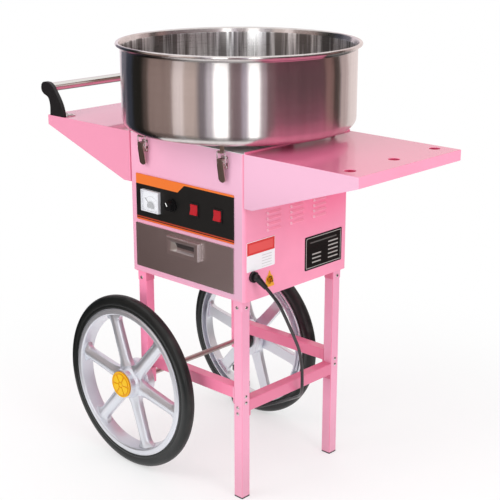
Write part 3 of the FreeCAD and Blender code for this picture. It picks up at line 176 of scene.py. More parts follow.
def painted(**numbers):
    """Makes a maker of materials out of a function that returns the sockets that vary."""
    def maker(draw):
        def make(name, *values):
            made = bpy.data.materials.new(name)
            paint = fresh(made)
            sockets = {key.replace("_", " "): value for key, value in numbers.items()}
            sockets.update(draw(paint, *values))
            shader = paint.node("ShaderNodeBsdfPrincipled", None, sockets)
            paint.node("ShaderNodeOutputMaterial", None, {"Surface": shader})
            return made
        return make
    return maker


# -------------------------------------------------------------------- settings
def colour_value(name, about, colour):
    return FloatVectorProperty(name=name, description=about, subtype="COLOR", size=4, min=0.0,
                               max=1.0, default=tone(*colour))


def setting(kind, name, about, default, low, high, unit=None):
    more = {"unit": unit} if unit else {}
    return kind(name=name, description=about, default=default, min=low, max=high, **more)


class FlossColours(PropertyGroup):
    """Colours of the machine's finishes."""
    body: colour_value("Body paint", "Pink paint of the cabinet and the wings", (246, 156, 186))
    # Painted light: a cooler, paler pink for the front faces, standing for the light that falls on
    # them.
    lit_front: colour_value("Front paint", "Cooler pink of the front faces", (221, 171, 195))
    legs: colour_value("Frame paint", "Pink paint of the legs and the rails", (238, 130, 164))
    # Painted light: a cooler, paler pink for the legs' outer faces, standing for the light that
    # falls on them.
    lit_legs: colour_value("Pale frame paint", "Cooler pink of the legs' outer faces", (234, 160, 188))
    steel: colour_value("Bowl steel", "Spun stainless steel of the bowl", (232, 226, 224))
    drawer: colour_value("Drawer steel", "Drawn stainless steel of the drawer", (213, 199, 200))
    rim: colour_value("Wheel plastic", "Silver-grey plastic of the wheels", (230, 233, 240))
    cap: colour_value("Cap plastic", "Yellow plastic of the hub caps", (228, 180, 0))
    band: colour_value("Panel band", "Orange band printed on the panel", (226, 112, 36))
    rocker: colour_value("Rocker plastic", "Red plastic of the rocker switches", (174, 2, 24))


class FlossSizes(PropertyGroup):
    """Finenesses and edge sizes of the finished pieces."""
    edge: setting(FloatProperty, "Sheet edge", "Rounding of bent sheet and tube edges",
                  0.0007, 0.0, 0.003, "LENGTH")
    bowl_steps: setting(IntProperty, "Bowl steps", "Faces round the bowl", 224, 48, 512)
    tyre_steps: setting(IntProperty, "Tyre steps", "Faces round each tyre", 176, 48, 512)
    horn: setting(FloatProperty, "Horn thickness", "Thickness of the push bar's horns",
                  0.009, 0.004, 0.026, "LENGTH")
    spokes: setting(IntProperty, "Spokes", "Spokes of each wheel", 6, 3, 12)


class FlossStudio(PropertyGroup):
    """Camera and light."""
    lens: setting(FloatProperty, "Lens", "Focal length of the camera", 84.36, 20.0, 300.0, "CAMERA")
    key: setting(FloatProperty, "Key light", "Power of the large soft key light",
                 22.0, 0.0, 500.0, "POWER")
    fill: setting(FloatProperty, "Fill light", "Power of the soft light from the right",
                  23.0, 0.0, 500.0, "POWER")
    sky: setting(FloatProperty, "Surrounding light", "Strength of the even light all round",
                 0.92, 0.0, 3.0)
    low: setting(FloatProperty, "Low light", "Power of the soft light low in front",
                 11.0, 0.0, 500.0, "POWER")


def colours():
    return bpy.context.scene.floss_colours


def sizes():
    return bpy.context.scene.floss_sizes


# -------------------------------------------------------------------- finishes
# places in the finishes are in millimetres, with x from the bowl's axis
AXLE = (-146.5, 199.5)          # x and z of the axle
METER = (-100.5, 605.5)         # x and z of the needle's pin
TICKS_START = -45.0             # degrees from upright
TICKS_FOOT = 23.0               # from the pin to the arc that carries the ticks
DUST = tone(150, 128, 124)
SPECK = tone(120, 84, 92)
DRAWER_LINES = (24.0, 1300.0, 1300.0)


@painted(Coat_IOR=1.55, Coat_Roughness=0.04, Specular_IOR_Level=0.35)
def powder_paint(p, colour, dirt, painted_light=None):
    """Glossy stoved paint: faint orange peel, cloudy tone and a little dust low down; the function
    given as painted_light paints light and shade into it.
    """
    point, x, y, z = p.place()
    cloud = p.noise(point, 7.0, 4.0)
    peel = p.noise(point, 420.0, 2.0) * 0.7 + p.noise(point, 900.0, 1.0) * 0.3
    specks = p.noise(point, 260.0, 2.0).step(0.70, 0.78)
    base = p.blend(cloud.step(0.35, 0.7), shade(colour, 0.955), shade(colour, 1.02))
    gloss = 0.0
    # Painted light and shade, and where the extra gloss goes, from the function given.
    if painted_light:
        base, gloss = painted_light(p, base, colour, cloud, x, y, z)
    base = p.blend(specks * (0.10 * dirt), base, SPECK)
    low = z.step(160.0, 0.0) * cloud * (0.35 * dirt)
    return {"Base Color": p.blend(low, base, DUST), "Roughness": 0.30 + cloud * 0.10 + low * 0.3,
            "Coat Weight": 0.30 + gloss * 0.70 + cloud * 0.05,
            "Normal": p.bump(peel, 0.10, 0.0006)}


def body_painted_light(p, base, colour, cloud, x, y, z):
    """Painted light and shade on the body: lit cooler front, glossy shelf tops with painted
    reflection, shaded wing insides, lit louvres with painted highlights on their ends.
    """
    # Painted light: the front faces take a cooler, paler pink for the light on them, lighter higher
    # up and towards the right.
    lit_front = tuple(colours().lit_front)
    side = abs(x)
    front = y.step(-163.4, -163.9) * z.step(440.0, 460.0)
    front_shading = p.blend(z.step(600.0, 740.0), shade(lit_front, 0.92), shade(lit_front, 1.10))
    share = 0.55 + x.step(-179.5, 180.5) * 0.45
    base = p.blend(front * x.step(-170.0, -169.5) * share, base, front_shading)
    # Painted shade: the front of the left wing is darker.
    base = p.blend(front * x.step(-169.5, -170.0), base, shade(colour, 0.86))
    # Painted reflection: the shelf tops take a deeper pink for the dark bowl they reflect; they are
    # also made glossier.
    top = z.step(760.50, 760.85) * side.step(172.1, 172.3)
    base = p.blend(top, base, p.blend(cloud, tone(238, 118, 158), tone(244, 128, 166)))
    # Painted shade: the insides of the wings are a deep, dark pink.
    inside = z.within(650.0, 760.0, 0.4) * side.step(171.2, 171.6) * abs(y).step(163.5, 163.0)
    base = p.blend(inside * x.within(-452.35, 454.35, 0.2), base, tone(218, 78, 120))
    # Painted light: the side wall under the right wing takes a deeper pink for the light thrown
    # back from the wing.
    wall = x.step(168.5, 169.5) * z.step(651.0, 650.0)
    base = p.blend(wall * z.step(520.0, 660.0) * y.step(-160.0, 120.0) * 0.75, base,
                   tone(255, 112, 158))
    # Painted light: the louvres are lighter, with painted highlights on their front ends.
    hood = x.step(170.2, 170.8) * z.within(588.0, 648.0, 1.0)
    ends = ((y + 99.0) / 72.5).fraction().step(0.11, 0.07) * z.within(588.0, 634.0, 1.0)
    base = p.blend(hood, base, tone(255, 163, 192))
    return p.blend(hood * ends * 0.8, base, tone(255, 208, 225)), top


def frame_painted_light(p, base, colour, cloud, x, y, z):
    """Painted light on the outer faces of the right-hand legs and on the left-hand legs, painted
    shade on the side rail.
    """
    outer = x.step(158.00, 158.35) * abs(y).step(134.2, 134.6)
    front = y.step(-158.00, -158.35) * x.step(130.5, 132.5)
    rear_leg = y.within(134.40, 134.65, 0.08) * x.step(134.1, 134.7)
    rail = x.step(120.5, 125.5) * abs(y).step(134.1, 133.8)
    # Painted light on the left-hand legs, painted shade on the side rail, paler painted light on
    # the right-hand legs' outer faces.
    base = p.blend(x.step(-133.5, -134.5), base, shade(colour, 1.30))
    base = p.blend(rail, base, shade(colour, 0.84))
    return p.blend(outer.most(front).most(rear_leg), base, tuple(colours().lit_legs)), 0.0


@painted(Metallic=1.0)
def brushed(p, colour, along, roughness, contrast=0.12):
    """Rolled sheet steel with fine drawn lines and a few finger marks."""
    point = p.point()
    lines = p.drawn_lines(point, along)
    cloud = p.noise(point, 9.0, 3.0)
    prints = p.noise(point, 34.0, 3.0).step(0.56, 0.72)
    base = p.blend(lines * contrast + cloud * (contrast * 0.6), shade(colour, 0.90),
                   shade(colour, 1.5))
    return {"Base Color": base, "Roughness": roughness + lines * 0.10 + prints * 0.05,
            "Normal": p.bump(lines, 0.07)}


@painted(Metallic=1.0)
def plated(p, colour, roughness, mottle):
    """Plated or turned metal with a slightly mottled surface."""
    point = p.point()
    cloud = p.noise(point, 60.0, 3.0)
    base = p.blend(cloud, shade(colour, 1.0 - mottle), shade(colour, 1.0 + mottle))
    return {"Base Color": base, "Roughness": roughness + cloud * 0.08,
            "Normal": p.bump(p.noise(point, 700.0, 2.0), 0.04)}


@painted(Coat_Roughness=0.12)
def moulded(p, colour, roughness, texture=0.12, coat=0.0):
    """Moulded plastic or rubber with fine spark texture and faint flow marks."""
    point = p.point()
    fine = p.noise(point, 1100.0, 2.0)
    cloud = p.noise(point, 16.0, 3.0)
    return {"Base Color": p.blend(cloud, shade(colour, 0.92), shade(colour, 1.10)),
            "Roughness": roughness + fine * 0.10 - cloud * 0.04, "Coat Weight": coat,
            "Normal": p.bump(fine, texture)}


@painted(Metallic=1.0, Anisotropic=0.92, Anisotropic_Rotation=0.25)
def spun_steel(p, colour):
    """Stainless steel turned on the lathe: rings of tool marks; vertical streaking, partly marks
    and partly painted reflection, strongest in the darker inner wall; painted shade under the rim.
    """
    point, x, y, z = p.place()
    radius = (x * x + y * y) ** 0.5
    around = y.angle(x)

    def turned_noise(spot, detail, rough=0.5):
        spot = p.node("ShaderNodeCombineXYZ", None, dict(enumerate(spot)))
        return p.noise(spot, 1.0, detail, rough)

    marks = turned_noise((radius * 0.9, z * 0.9, around * 2.0), 3.0, 0.6)
    coarse = turned_noise((radius * 0.16, z * 0.16, around * 0.6), 2.0)
    # Vertical streaking round the bowl, partly polishing marks and partly painted reflection of the
    # surroundings.
    marks_and_reflection_streaks = turned_noise((around * 11.0, z * 0.0015, radius * 0.00001), 4.0, 0.7)
    marks_and_reflection_streaks = marks_and_reflection_streaks.step(0.42, 0.60)
    cloud = p.noise(point, 8.0, 3.0)
    base = p.blend(marks * 0.35 + coarse * 0.3 + cloud * 0.35, shade(colour, 0.80),
                   shade(colour, 1.12))
    # Painted shade and painted reflection: the inner wall is darker, with bright and dark streaking
    # for the reflections in it.
    inside = radius.step(249.8, 249.2) * z.step(805.0, 815.0)
    # Painted shade: a darker band round the outside under the rim.
    neck = radius.step(250.5, 251.0) * z.within(934.5, 944.0, 0.6)
    base = p.blend(marks_and_reflection_streaks * 0.5, base, shade(colour, 0.82))
    base = p.blend(neck, base, shade(colour, 0.45))
    base = p.blend(inside, base, p.blend(marks_and_reflection_streaks, shade(colour, 0.30), shade(colour, 1.6)))
    return {"Base Color": base,
            "Roughness": 0.15 + marks * 0.08 + cloud * 0.03 + inside * 0.08,
            "Normal": p.bump(marks * 0.6 + coarse * 0.4, 0.05)}


@painted(Specular_IOR_Level=0.35)
def print_panel(p, band):
    """Black panel with a slanted band, a top line and a double bottom line."""
    point, x, _, z = p.place()
    fine = p.noise(point, 1000.0, 2.0)
    slant = x - (z - 651.2) * 1.15 + 19.7
    tab = z.step(651.0, 651.4) * slant.step(0.3, -0.3)
    base = p.blend(p.noise(point, 20.0, 3.0), tone(20, 20, 20), tone(27, 27, 26))
    base = p.blend(tab.most(z.step(668.8, 669.2)), base, band)
    base = p.blend(z.within(577.0, 579.6, 0.25), base, tone(170, 58, 30))
    base = p.blend(z.step(575.2, 574.8), base, tone(214, 92, 30))
    return {"Base Color": base, "Roughness": 0.34 + fine * 0.08, "Normal": p.bump(fine, 0.08)}


@painted()
def print_plates(p, brass):
    """Label with a red head, dark data plate with a bright border, bare earth disc."""
    point, _, y, z = p.place()
    cloud = p.noise(point, 30.0, 3.0)

    def patch(left, right, low, high, soft=0.3):
        return y.within(left, right, soft) * z.within(low, high, soft)

    head = patch(-155.7, -73.3, 549.2, 576.0, 0.2)
    rows = (z / 6.0).fraction().within(0.28, 0.50, 0.04) * z.within(518.0, 544.5, 0.4)
    white = p.blend(cloud, tone(230, 230, 234), tone(240, 240, 243))
    white = p.blend(head, white, tone(214, 52, 52))
    white = p.blend(head * patch(-150.5, -78.5, 553.5, 571.5), white, tone(226, 84, 82))
    white = p.blend(rows * y.within(-112.0, -82.0, 0.3) * 0.55, white, tone(150, 150, 152))
    inside = patch(28.2, 141.3, 480.2, 545.3, 0.25)
    bars = (z / 9.0).fraction().within(0.30, 0.62, 0.04) * z.within(484.0, 538.0, 0.4)
    right = y.within(100.0, 133.0, 0.3) * z.step(529.0, 528.6)
    left = y.within(47.0, 76.0, 0.3) * z.step(512.0, 511.6)
    lines = right.most(left) * bars * 0.8 + patch(40.0, 128.0, 533.5, 536.5) * 0.2
    data = p.blend(patch(27.0, 142.5, 479.0, 546.5, 0.25), tone(24, 22, 21),
                   tone(186, 184, 180))
    data = p.blend(inside, data, p.blend(cloud, tone(16, 14, 14), tone(24, 21, 20)))
    data = p.blend(lines * inside, data, tone(186, 182, 178))
    label = y.step(-60.0, -61.0) * z.step(508.0, 509.0)
    plate = y.step(10.0, 11.0)
    base = p.blend(plate, p.blend(label, brass, white), data)
    return {"Base Color": base, "Metallic": (1.0 - label) * (1.0 - plate),
            "Roughness": 0.34 + cloud * 0.08, "Normal": p.bump(p.noise(point, 900.0, 1.0), 0.05)}


@painted()
def dial_print(p, card):
    """Meter's card: white, with an arc of ticks."""
    point, x, _, z = p.place()
    x = x - METER[0]
    z = z - METER[1]
    radius = (x * x + z * z) ** 0.5
    turn = x.angle(z) * (180.0 / math.pi)

    def ticks(apart, ahead, share, soft, end):
        beat = ((turn - TICKS_START) / apart + ahead).fraction()
        return beat.within(0.0, share, soft) * radius.within(TICKS_FOOT, end, 0.2)

    marks = ticks(6.0, 0.06, 0.12, 0.03, 24.6).most(ticks(30.0, 0.02, 0.04, 0.01, 26.2))
    marks = marks.most(radius.within(22.4, TICKS_FOOT, 0.15)) * turn.within(-46.0, 46.0, 0.5)
    base = p.blend(p.noise(point, 60.0), card, tone(236, 236, 240))
    return {"Base Color": p.blend(marks * 0.85, base, tone(60, 60, 66)),
            "Roughness": 0.5 + p.noise(point, 500.0) * 0.1}


@painted(Coat_Weight=0.1, Coat_Roughness=0.1, Specular_IOR_Level=0.25)
def cap_plastic(p, colour):
    """Yellow plastic, deeper in the grooves between the raised parts."""
    point, _, y, _ = p.place()
    cloud = p.noise(point, 40.0, 3.0)
    base = p.blend(abs(y).step(231.35, 232.0), tone(214, 138, 0), colour)
    return {"Base Color": p.blend(cloud * 0.25, base, shade(colour, 0.9)),
            "Roughness": 0.30 + cloud * 0.06,
            "Normal": p.bump(p.noise(point, 800.0, 2.0), 0.06)}


@painted(Specular_IOR_Level=0.2)
def knob_plastic(p, colour):
    """Black plastic with a white pointer on its face."""
    point, _, y, _ = p.place()
    fine = p.noise(point, 1000.0, 2.0)
    base = p.blend(y.step(-181.60, -181.75), colour, tone(232, 232, 230))
    return {"Base Color": base, "Roughness": 0.52 + fine * 0.1, "Normal": p.bump(fine, 0.12)}


@painted(Metallic=1.0)
def pull_steel(p, colour):
    """Pressed drawer pull: painted highlights on the dish's left slope and the right edge, painted
    shadow in the upper part of the finger dish.
    """
    point, x, y, z = p.place()
    lines = p.drawn_lines(point, DRAWER_LINES)
    dish = y.step(-174.8, -173.8) * z.within(523.0, 547.5, 0.3)
    # Painted highlight on the dish's left slope and the right edge, painted shadow in the upper
    # part of the dish.
    slope = dish * x.within(-38.5, -20.0, 1.0)
    slot = dish * x.within(-20.0, 37.5, 1.0) * z.step(531.5, 534.0)
    base = p.blend(p.noise(point, 30.0, 3.0), shade(colour, 0.95), shade(colour, 1.2))
    base = p.blend(slope.most(x.step(48.6, 49.2)), base, tone(244, 240, 236))
    return {"Base Color": p.blend(slot * 0.85, base, tone(52, 48, 48)),
            "Roughness": 0.32 + lines * 0.10, "Normal": p.bump(lines, 0.07)}


@painted(Alpha=0.16, Specular_IOR_Level=0.6)
def window_glass(p, colour):
    """Clear plastic window with faint rub marks."""
    rubs = p.noise(p.point(), 40.0, 3.0).step(0.5, 0.8)
    return {"Base Color": colour, "Roughness": 0.02 + rubs * 0.04}


@painted(Metallic=0.85, Coat_Weight=0.5, Coat_Roughness=0.12)
def silver_plastic(p, colour):
    """Silver plastic with fine flake and floor dust low down."""
    point, _, _, z = p.place()
    flake = p.noise(point, 1500.0, 1.0)
    cloud = p.noise(point, 12.0, 3.0)
    dust = z.step(120.0, 0.0) * cloud * 0.35
    base = p.blend(flake * 0.5 + cloud * 0.5, shade(colour, 0.92), shade(colour, 1.08))
    return {"Base Color": p.blend(dust, base, tone(150, 140, 134)),
            "Roughness": 0.34 + flake * 0.08 + dust * 0.3, "Normal": p.bump(flake, 0.05)}


@painted(Coat_Weight=0.3, Coat_Roughness=0.12, Specular_IOR_Level=0.3)
def tyre_rubber(p, colour):
    """Black rubber: glossy side with fine rings, scuffed and dusty tread."""
    point, x, _, z = p.place()
    fine = p.noise(point, 900.0, 2.0)
    cloud = p.noise(point, 20.0, 4.0)
    x = x - AXLE[0]
    z = z - AXLE[1]
    out = (x * x + z * z) ** 0.5
    tread = out.step(192.5, 198.5)
    rings = (out * 0.42).fraction().within(0.42, 0.58, 0.1) * (1.0 - tread)
    base = p.blend(cloud, colour, tone(22, 26, 26))
    return {"Base Color": p.blend(tread * cloud.step(0.3, 0.7) * 0.4, base, tone(66, 63, 60)),
            "Roughness": 0.34 + fine * 0.08 + tread * 0.22,
            "Normal": p.bump(fine * 0.3 - rings, 0.20, 0.0005)}


# maker, name, colour (a word is one of the colour settings) and the maker's own values
FINISH_MAKERS = {
    "body": (powder_paint, "body_paint", "body", 0.5, body_painted_light),
    "legs": (powder_paint, "frame_paint", "legs", 0.9, frame_painted_light),
    "motor": (powder_paint, "motor_paint", tone(84, 90, 96), 0.3),
    "bowl": (spun_steel, "spun_steel", "steel"),
    "drawer": (brushed, "drawer_steel", "drawer", DRAWER_LINES, 0.33, 0.22),
    "runner": (brushed, "runner_steel", tone(186, 186, 184), (1300.0, 20.0, 1300.0), 0.36),
    "latch": (brushed, "latch_steel", tone(190, 174, 163), (1500.0, 1500.0, 60.0), 0.30, 0.25),
    "axle": (brushed, "axle_steel", tone(196, 182, 176), (900.0, 20.0, 900.0), 0.34, 0.2),
    "pull": (pull_steel, "pull_steel", "drawer"),
    "hasp": (plated, "latch_chrome", tone(232, 222, 222), 0.14, 0.06),
    "bar": (plated, "bar_chrome", tone(226, 222, 218), 0.07, 0.03),
    "zinc": (plated, "screw_zinc", tone(230, 226, 224), 0.18, 0.08),
    "cast": (plated, "cast_aluminium", tone(190, 190, 192), 0.38, 0.10),
    "band": (plated, "band_steel", tone(150, 146, 140), 0.34, 0.18),
    "deck": (moulded, "deck_primer", tone(226, 224, 224), 0.45, 0.08),
    "black": (moulded, "black_plastic", tone(26, 25, 27), 0.42),
    "switch": (moulded, "switch_plastic", tone(26, 26, 28), 0.30, 0.06, 0.2),
    "rocker": (moulded, "rocker_plastic", "rocker", 0.34, 0.03, 0.15),
    "meter": (moulded, "meter_plastic", tone(214, 214, 220), 0.25, 0.04, 0.3),
    "cover": (moulded, "meter_cover", tone(138, 138, 142), 0.30, 0.05, 0.2),
    "needle": (moulded, "needle_paint", tone(28, 28, 30), 0.5, 0.05),
    "rubber": (moulded, "buffer_rubber", tone(40, 40, 40), 0.60, 0.25),
    "cord": (moulded, "cord_rubber", tone(38, 36, 38), 0.40, 0.20, 0.1),
    "mark": (moulded, "yellow_print", tone(228, 158, 34), 0.4, 0.03),
    "rim": (silver_plastic, "silver_plastic", "rim"),
    "tyre": (tyre_rubber, "tyre_rubber", tone(14, 17, 17)),
    "cap": (cap_plastic, "cap_plastic", "cap"),
    "knob": (knob_plastic, "knob_plastic", tone(16, 16, 17)),
    "panel": (print_panel, "panel_print", "band"),
    "plates": (print_plates, "plate_print", tone(226, 164, 60)),
    "dial": (dial_print, "dial_print", tone(226, 226, 232)),
    "glass": (window_glass, "window_glass", (0.96, 0.98, 1.0, 1.0)),
}
FINISHES = {}


def finish(key):
    """Each finish is made once, when the first piece asks for it."""
    if key not in FINISHES:
        maker, name, colour, *values = FINISH_MAKERS[key]
        if isinstance(colour, str):
            colour = tuple(getattr(colours(), colour))
        FINISHES[key] = maker(name, colour, *values)
    return FINISHES[key]


# ---------------------------------------------------------------------- meshes
def link(name, data):
    made = bpy.data.objects.new(name, data)
    bpy.context.scene.collection.objects.link(made)
    return made


def mesh_from(name, points, faces):
    mesh = bpy.data.meshes.new(name)
    mesh.from_pydata([tuple(p) for p in points], [], faces)
    mesh.validate()
    work = bmesh.new()
    work.from_mesh(mesh)
    bmesh.ops.remove_doubles(work, verts=work.verts, dist=1e-7)
    bmesh.ops.recalc_face_normals(work, faces=work.faces)
    work.to_mesh(mesh)
    work.free()
    return mesh


def skinned(name, rings, closed=False):
    """Skin over rings of equally many points: capped at both ends, or closed to a hoop."""
    count = len(rings[0])
    faces = []
    for number in range(len(rings) if closed else len(rings) - 1):
        low = number * count
        high = (number + 1) % len(rings) * count
        for index in range(count):
            beside = (index + 1) % count
            faces.append((low + index, low + beside, high + beside, high + index))
    if not closed:
        last = (len(rings) - 1) * count
        faces += [tuple(range(count)), tuple(range(last, last + count))]
    return mesh_from(name, [point for ring in rings for point in ring], faces)


def turned(name, outline, segments):
    """Turn a closed (radius, height) outline about Z."""
    angles = [2 * math.pi * turn / segments for turn in range(segments)]
    return skinned(name, [[(radius * math.cos(angle), radius * math.sin(angle), height)
                           for radius, height in outline] for angle in angles], True)


def slab(name, outline, low, high):
    """Flat plate in XY between two heights."""
    return skinned(name, [[(x, y, height) for x, y in outline] for height in (low, high)])


def arc(middle, radius, start, end, steps):
    """Points on part of a circle, from start to end in degrees."""
    angles = [math.radians(start + (end - start) * n / steps) for n in range(steps + 1)]
    return [(middle[0] + radius * math.cos(a), middle[1] + radius * math.sin(a)) for a in angles]


def circle(radius, count, start=0.0, middle=(0.0, 0.0)):
    return arc(middle, radius, start, start + 360.0, count)[:-1]


def corner(points, steps=4):
    """Closed 2D outline from (x, y, radius) corners."""
    result = []
    for index, (x, y, radius) in enumerate(points):
        here = Vector((x, y))
        if radius <= 0:
            result.append(here)
            continue
        back = Vector(points[index - 1][:2]) - here
        ahead = Vector(points[(index + 1) % len(points)][:2]) - here
        turn = back.angle(ahead) / 2
        cut = min(radius / math.tan(turn), back.length * 0.49, ahead.length * 0.49)
        radius = cut * math.tan(turn)
        back.normalize()
        ahead.normalize()
        centre = here + (back + ahead).normalized() * (radius / math.sin(turn))
        start = (here + back * cut) - centre
        sweep = start.angle_signed((here + ahead * cut) - centre)
        result += [centre + Matrix.Rotation(-sweep * step / steps, 2) @ start
                   for step in range(steps + 1)]
    return result


def joined(name, *layers):
    """One mesh from lists of meshes, one list for each material number."""
    work = bmesh.new()
    for number, meshes in enumerate(layers):
        for part in meshes:
            have = len(work.faces)
            work.from_mesh(part)
            work.faces.ensure_lookup_table()
            for face in work.faces[have:]:
                face.material_index = number
    mesh = bpy.data.meshes.new(name)
    work.to_mesh(mesh)
    work.free()
    return mesh


def in_frame(point):
    """A point in millimetres from the bowl's axis, in the row frame."""
    return Vector((point[0] * MM + SHIFT, point[1] * MM, point[2] * MM))


def to_frame(mesh, turn=None):
    """Bring a mesh drawn in millimetres from the bowl's axis into the row frame."""
    place = Matrix.Translation((SHIFT, 0.0, 0.0)) @ Matrix.Scale(MM, 4)
    mesh.transform(place @ turn if turn else place)
    return mesh


def soften(made, width, segments=2, angle=30.0):
    """Small rounded edges, as bent sheet and mouldings have."""
    made.data.shade_smooth()
    if width:
        rounding = made.modifiers.new("Edges", "BEVEL")
        rounding.limit_method = "ANGLE"
        rounding.angle_limit = math.radians(angle)
        rounding.width = width
        rounding.segments = segments
        rounding.harden_normals = True
    else:
        made.data.set_sharp_from_angle(angle=math.radians(angle))
    return made


def plain(made):
    """The object with its modifiers worked into its mesh."""
    bpy.context.view_layer.update()
    depsgraph = bpy.context.evaluated_depsgraph_get()
    mesh = bpy.data.meshes.new_from_object(made.evaluated_get(depsgraph))
    made.modifiers.clear()
    made.data = mesh
    return made


def dress(made, nodes, *finishes, extra=False):
    """Put a piece in the place of its CAD nodes; an extra piece only shares their body."""
    nodes = [nodes] if isinstance(nodes, str) else list(nodes)
    for key in finishes:
        made.data.materials.append(finish(key))
    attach(made, BODIES[nodes[0]])
    if not extra:
        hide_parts(*nodes)
    return made


def cad_copy(node):
    """Merged copy of a CAD node's mesh, its flat faces made whole."""
    mesh = NODES[node].data.copy()
    work = bmesh.new()
    work.from_mesh(mesh)
    bmesh.ops.remove_doubles(work, verts=work.verts, dist=2e-6)
    bmesh.ops.dissolve_degenerate(work, edges=work.edges, dist=1e-6)
    bmesh.ops.dissolve_limit(work, angle_limit=math.radians(0.4), verts=work.verts,
                             edges=work.edges)
    work.to_mesh(mesh)
    work.free()
    mesh.materials.clear()
    for face in mesh.polygons:
        face.material_index = 0
    return mesh


def coat_node(node, name, key, width=0.0005, segments=2, angle=30.0, depth=None):
    """Finished copy of a CAD node; depth gives a point's new y from its y and z."""
    mesh = cad_copy(node)
    if depth:
        for vertex in mesh.vertices:
            vertex.co.y = math.copysign(depth(abs(vertex.co.y), vertex.co.z), vertex.co.y)
    made = soften(link(name, mesh), width, segments, angle)
    weighing = made.modifiers.new("Normals", "WEIGHTED_NORMAL")
    weighing.weight = 100
    weighing.keep_sharp = True
    return dress(plain(made), node, key)


def coat_nodes(*rows):
    """Rows of a CAD node, its piece's name, its finish and where needed its edge in metres."""
    for row in rows:
        coat_node(*row)
    return {"FINISHED"}


# -------------------------------------------------------- repeated small parts
def repeat_tree(name, template, coat):
    """Puts the template on every point of the mesh, facing the way the points say."""
    group = bpy.data.node_groups.new(name, "GeometryNodeTree")
    face = group.interface
    face.new_socket("Geometry", in_out="INPUT", socket_type="NodeSocketGeometry")
    size = face.new_socket("Size", in_out="INPUT", socket_type="NodeSocketFloat")
    size.default_value = 1.0
    face.new_socket("Geometry", in_out="OUTPUT", socket_type="NodeSocketGeometry")
    tree = Tree(group)
    entry = tree.node("NodeGroupInput")
    shape = tree.node("GeometryNodeObjectInfo", {"transform_space": "ORIGINAL"},
                      {"Object": template}, output="Geometry")

    def said(name, kind):
        return tree.node("GeometryNodeInputNamedAttribute", {"data_type": kind}, {"Name": name})

    turn = tree.node("FunctionNodeAlignRotationToVector", {"axis": "Z"},
                     {"Vector": said("facing", "FLOAT_VECTOR")})
    local = tree.node("FunctionNodeAxisAngleToRotation", None,
                      {"Axis": (0.0, 0.0, 1.0), "Angle": said("spin", "FLOAT")})
    whole = tree.node("FunctionNodeRotateRotation", {"rotation_space": "LOCAL"},
                      {0: turn, 1: local})
    placed = tree.node("GeometryNodeInstanceOnPoints", None,
                       {"Points": entry, "Instance": shape, "Rotation": whole,
                        "Scale": entry.other("Size")})
    real = tree.node("GeometryNodeRealizeInstances", None, {0: placed})
    coloured = tree.node("GeometryNodeSetMaterial", None, {"Geometry": real, "Material": coat})
    tree.node("NodeGroupOutput", None, {0: coloured})
    return group


def repeated(name, template_mesh, places, key, size=1.0):
    """Copies of one small shape at (position, facing, turn) places, as one plain mesh."""
    template = link(name + "_pattern", template_mesh)
    mesh = bpy.data.meshes.new(name)
    mesh.from_pydata([tuple(place[0]) for place in places], [], [])
    mesh.attributes.new("facing", "FLOAT_VECTOR", "POINT")
    mesh.attributes.new("spin", "FLOAT", "POINT")
    for index, (_, facing, spin) in enumerate(places):
        mesh.attributes["facing"].data[index].vector = facing
        mesh.attributes["spin"].data[index].value = spin
    made = link(name, mesh)
    worker = made.modifiers.new("Repeat", "NODES")
    worker.node_group = repeat_tree(name + "_tree", template, finish(key))
    for item in worker.node_group.interface.items_tree:
        if item.item_type == "SOCKET" and item.in_out == "INPUT" and item.name == "Size":
            worker[item.identifier] = size
    plain(made).data.materials.clear()
    bpy.data.objects.remove(template)
    return made


# ----------------------------------------------------------------------- stage
# panels that the polished steel sees round the studio: (from, to) in degrees from the
# camera's side, display colour, strength
SURROUNDINGS = (
    (-180, -150, (218, 208, 214), 1.25), (-150, -132, (106, 106, 116), 1.2),
    (-132, -118, (54, 58, 68), 1.2), (-118, -100, (34, 33, 30), 1.2),
    (-100, -92, (80, 70, 66), 1.2), (-92, -62, (134, 117, 112), 1.3),
    (-62, -51, (216, 204, 202), 1.4), (-51, -37, (182, 166, 160), 1.3),
    (-37, -29, (124, 116, 122), 1.1), (-29, -22, (196, 190, 198), 1.2),
    (-22, -9, (255, 255, 255), 2.2), (-9, 3, (126, 106, 110), 1.1),
    (3, 9, (182, 172, 186), 1.2), (9, 19, (255, 255, 255), 2.2),
    (19, 25, (176, 162, 168), 1.2), (25, 33, (114, 90, 94), 1.2),
    (33, 87, (88, 66, 70), 1.25), (87, 98, (130, 102, 98), 1.25),
    (98, 109, (68, 58, 54), 1.2), (109, 125, (184, 168, 166), 1.2),
    (125, 180, (218, 206, 204), 1.25))
FLOOR_TONE = 0.42               # how much darker the panels are on the floor
FLOOR_MOST = 170                # lightest display value on the floor
CARD_DISTANCE = 2.3
CARD_HEIGHT = 2.6
CARD_START = 0.75               # where the cards on the floor begin
CARD_LIFT = 0.003               # how far they lie above the floor
FLOOR_RADIUS = 14.0
FLOOR_SINK = 0.02               # thickness of the floor
FLOOR_FADE = (0.55, 1.3)        # distances between which the floor turns white
CAMERA_YAW = math.radians(43.33)
CAMERA_PITCH = math.radians(16.98)
CAMERA_PLACE = (1.72884, -1.78879, 1.25072)
WHITE = (1.0, 1.0, 1.0, 1.0)
# setting that holds the power, size, place, height of the point it looks at
LIGHTS = (("key", (1.8, 1.4), (-1.1, -2.5, 2.5), 0.55),
          ("low", (1.8, 0.9), (-0.3, -2.9, 0.55), 0.6),
          ("fill", (1.2, 1.8), (2.9, -0.4, 1.6), 0.5))


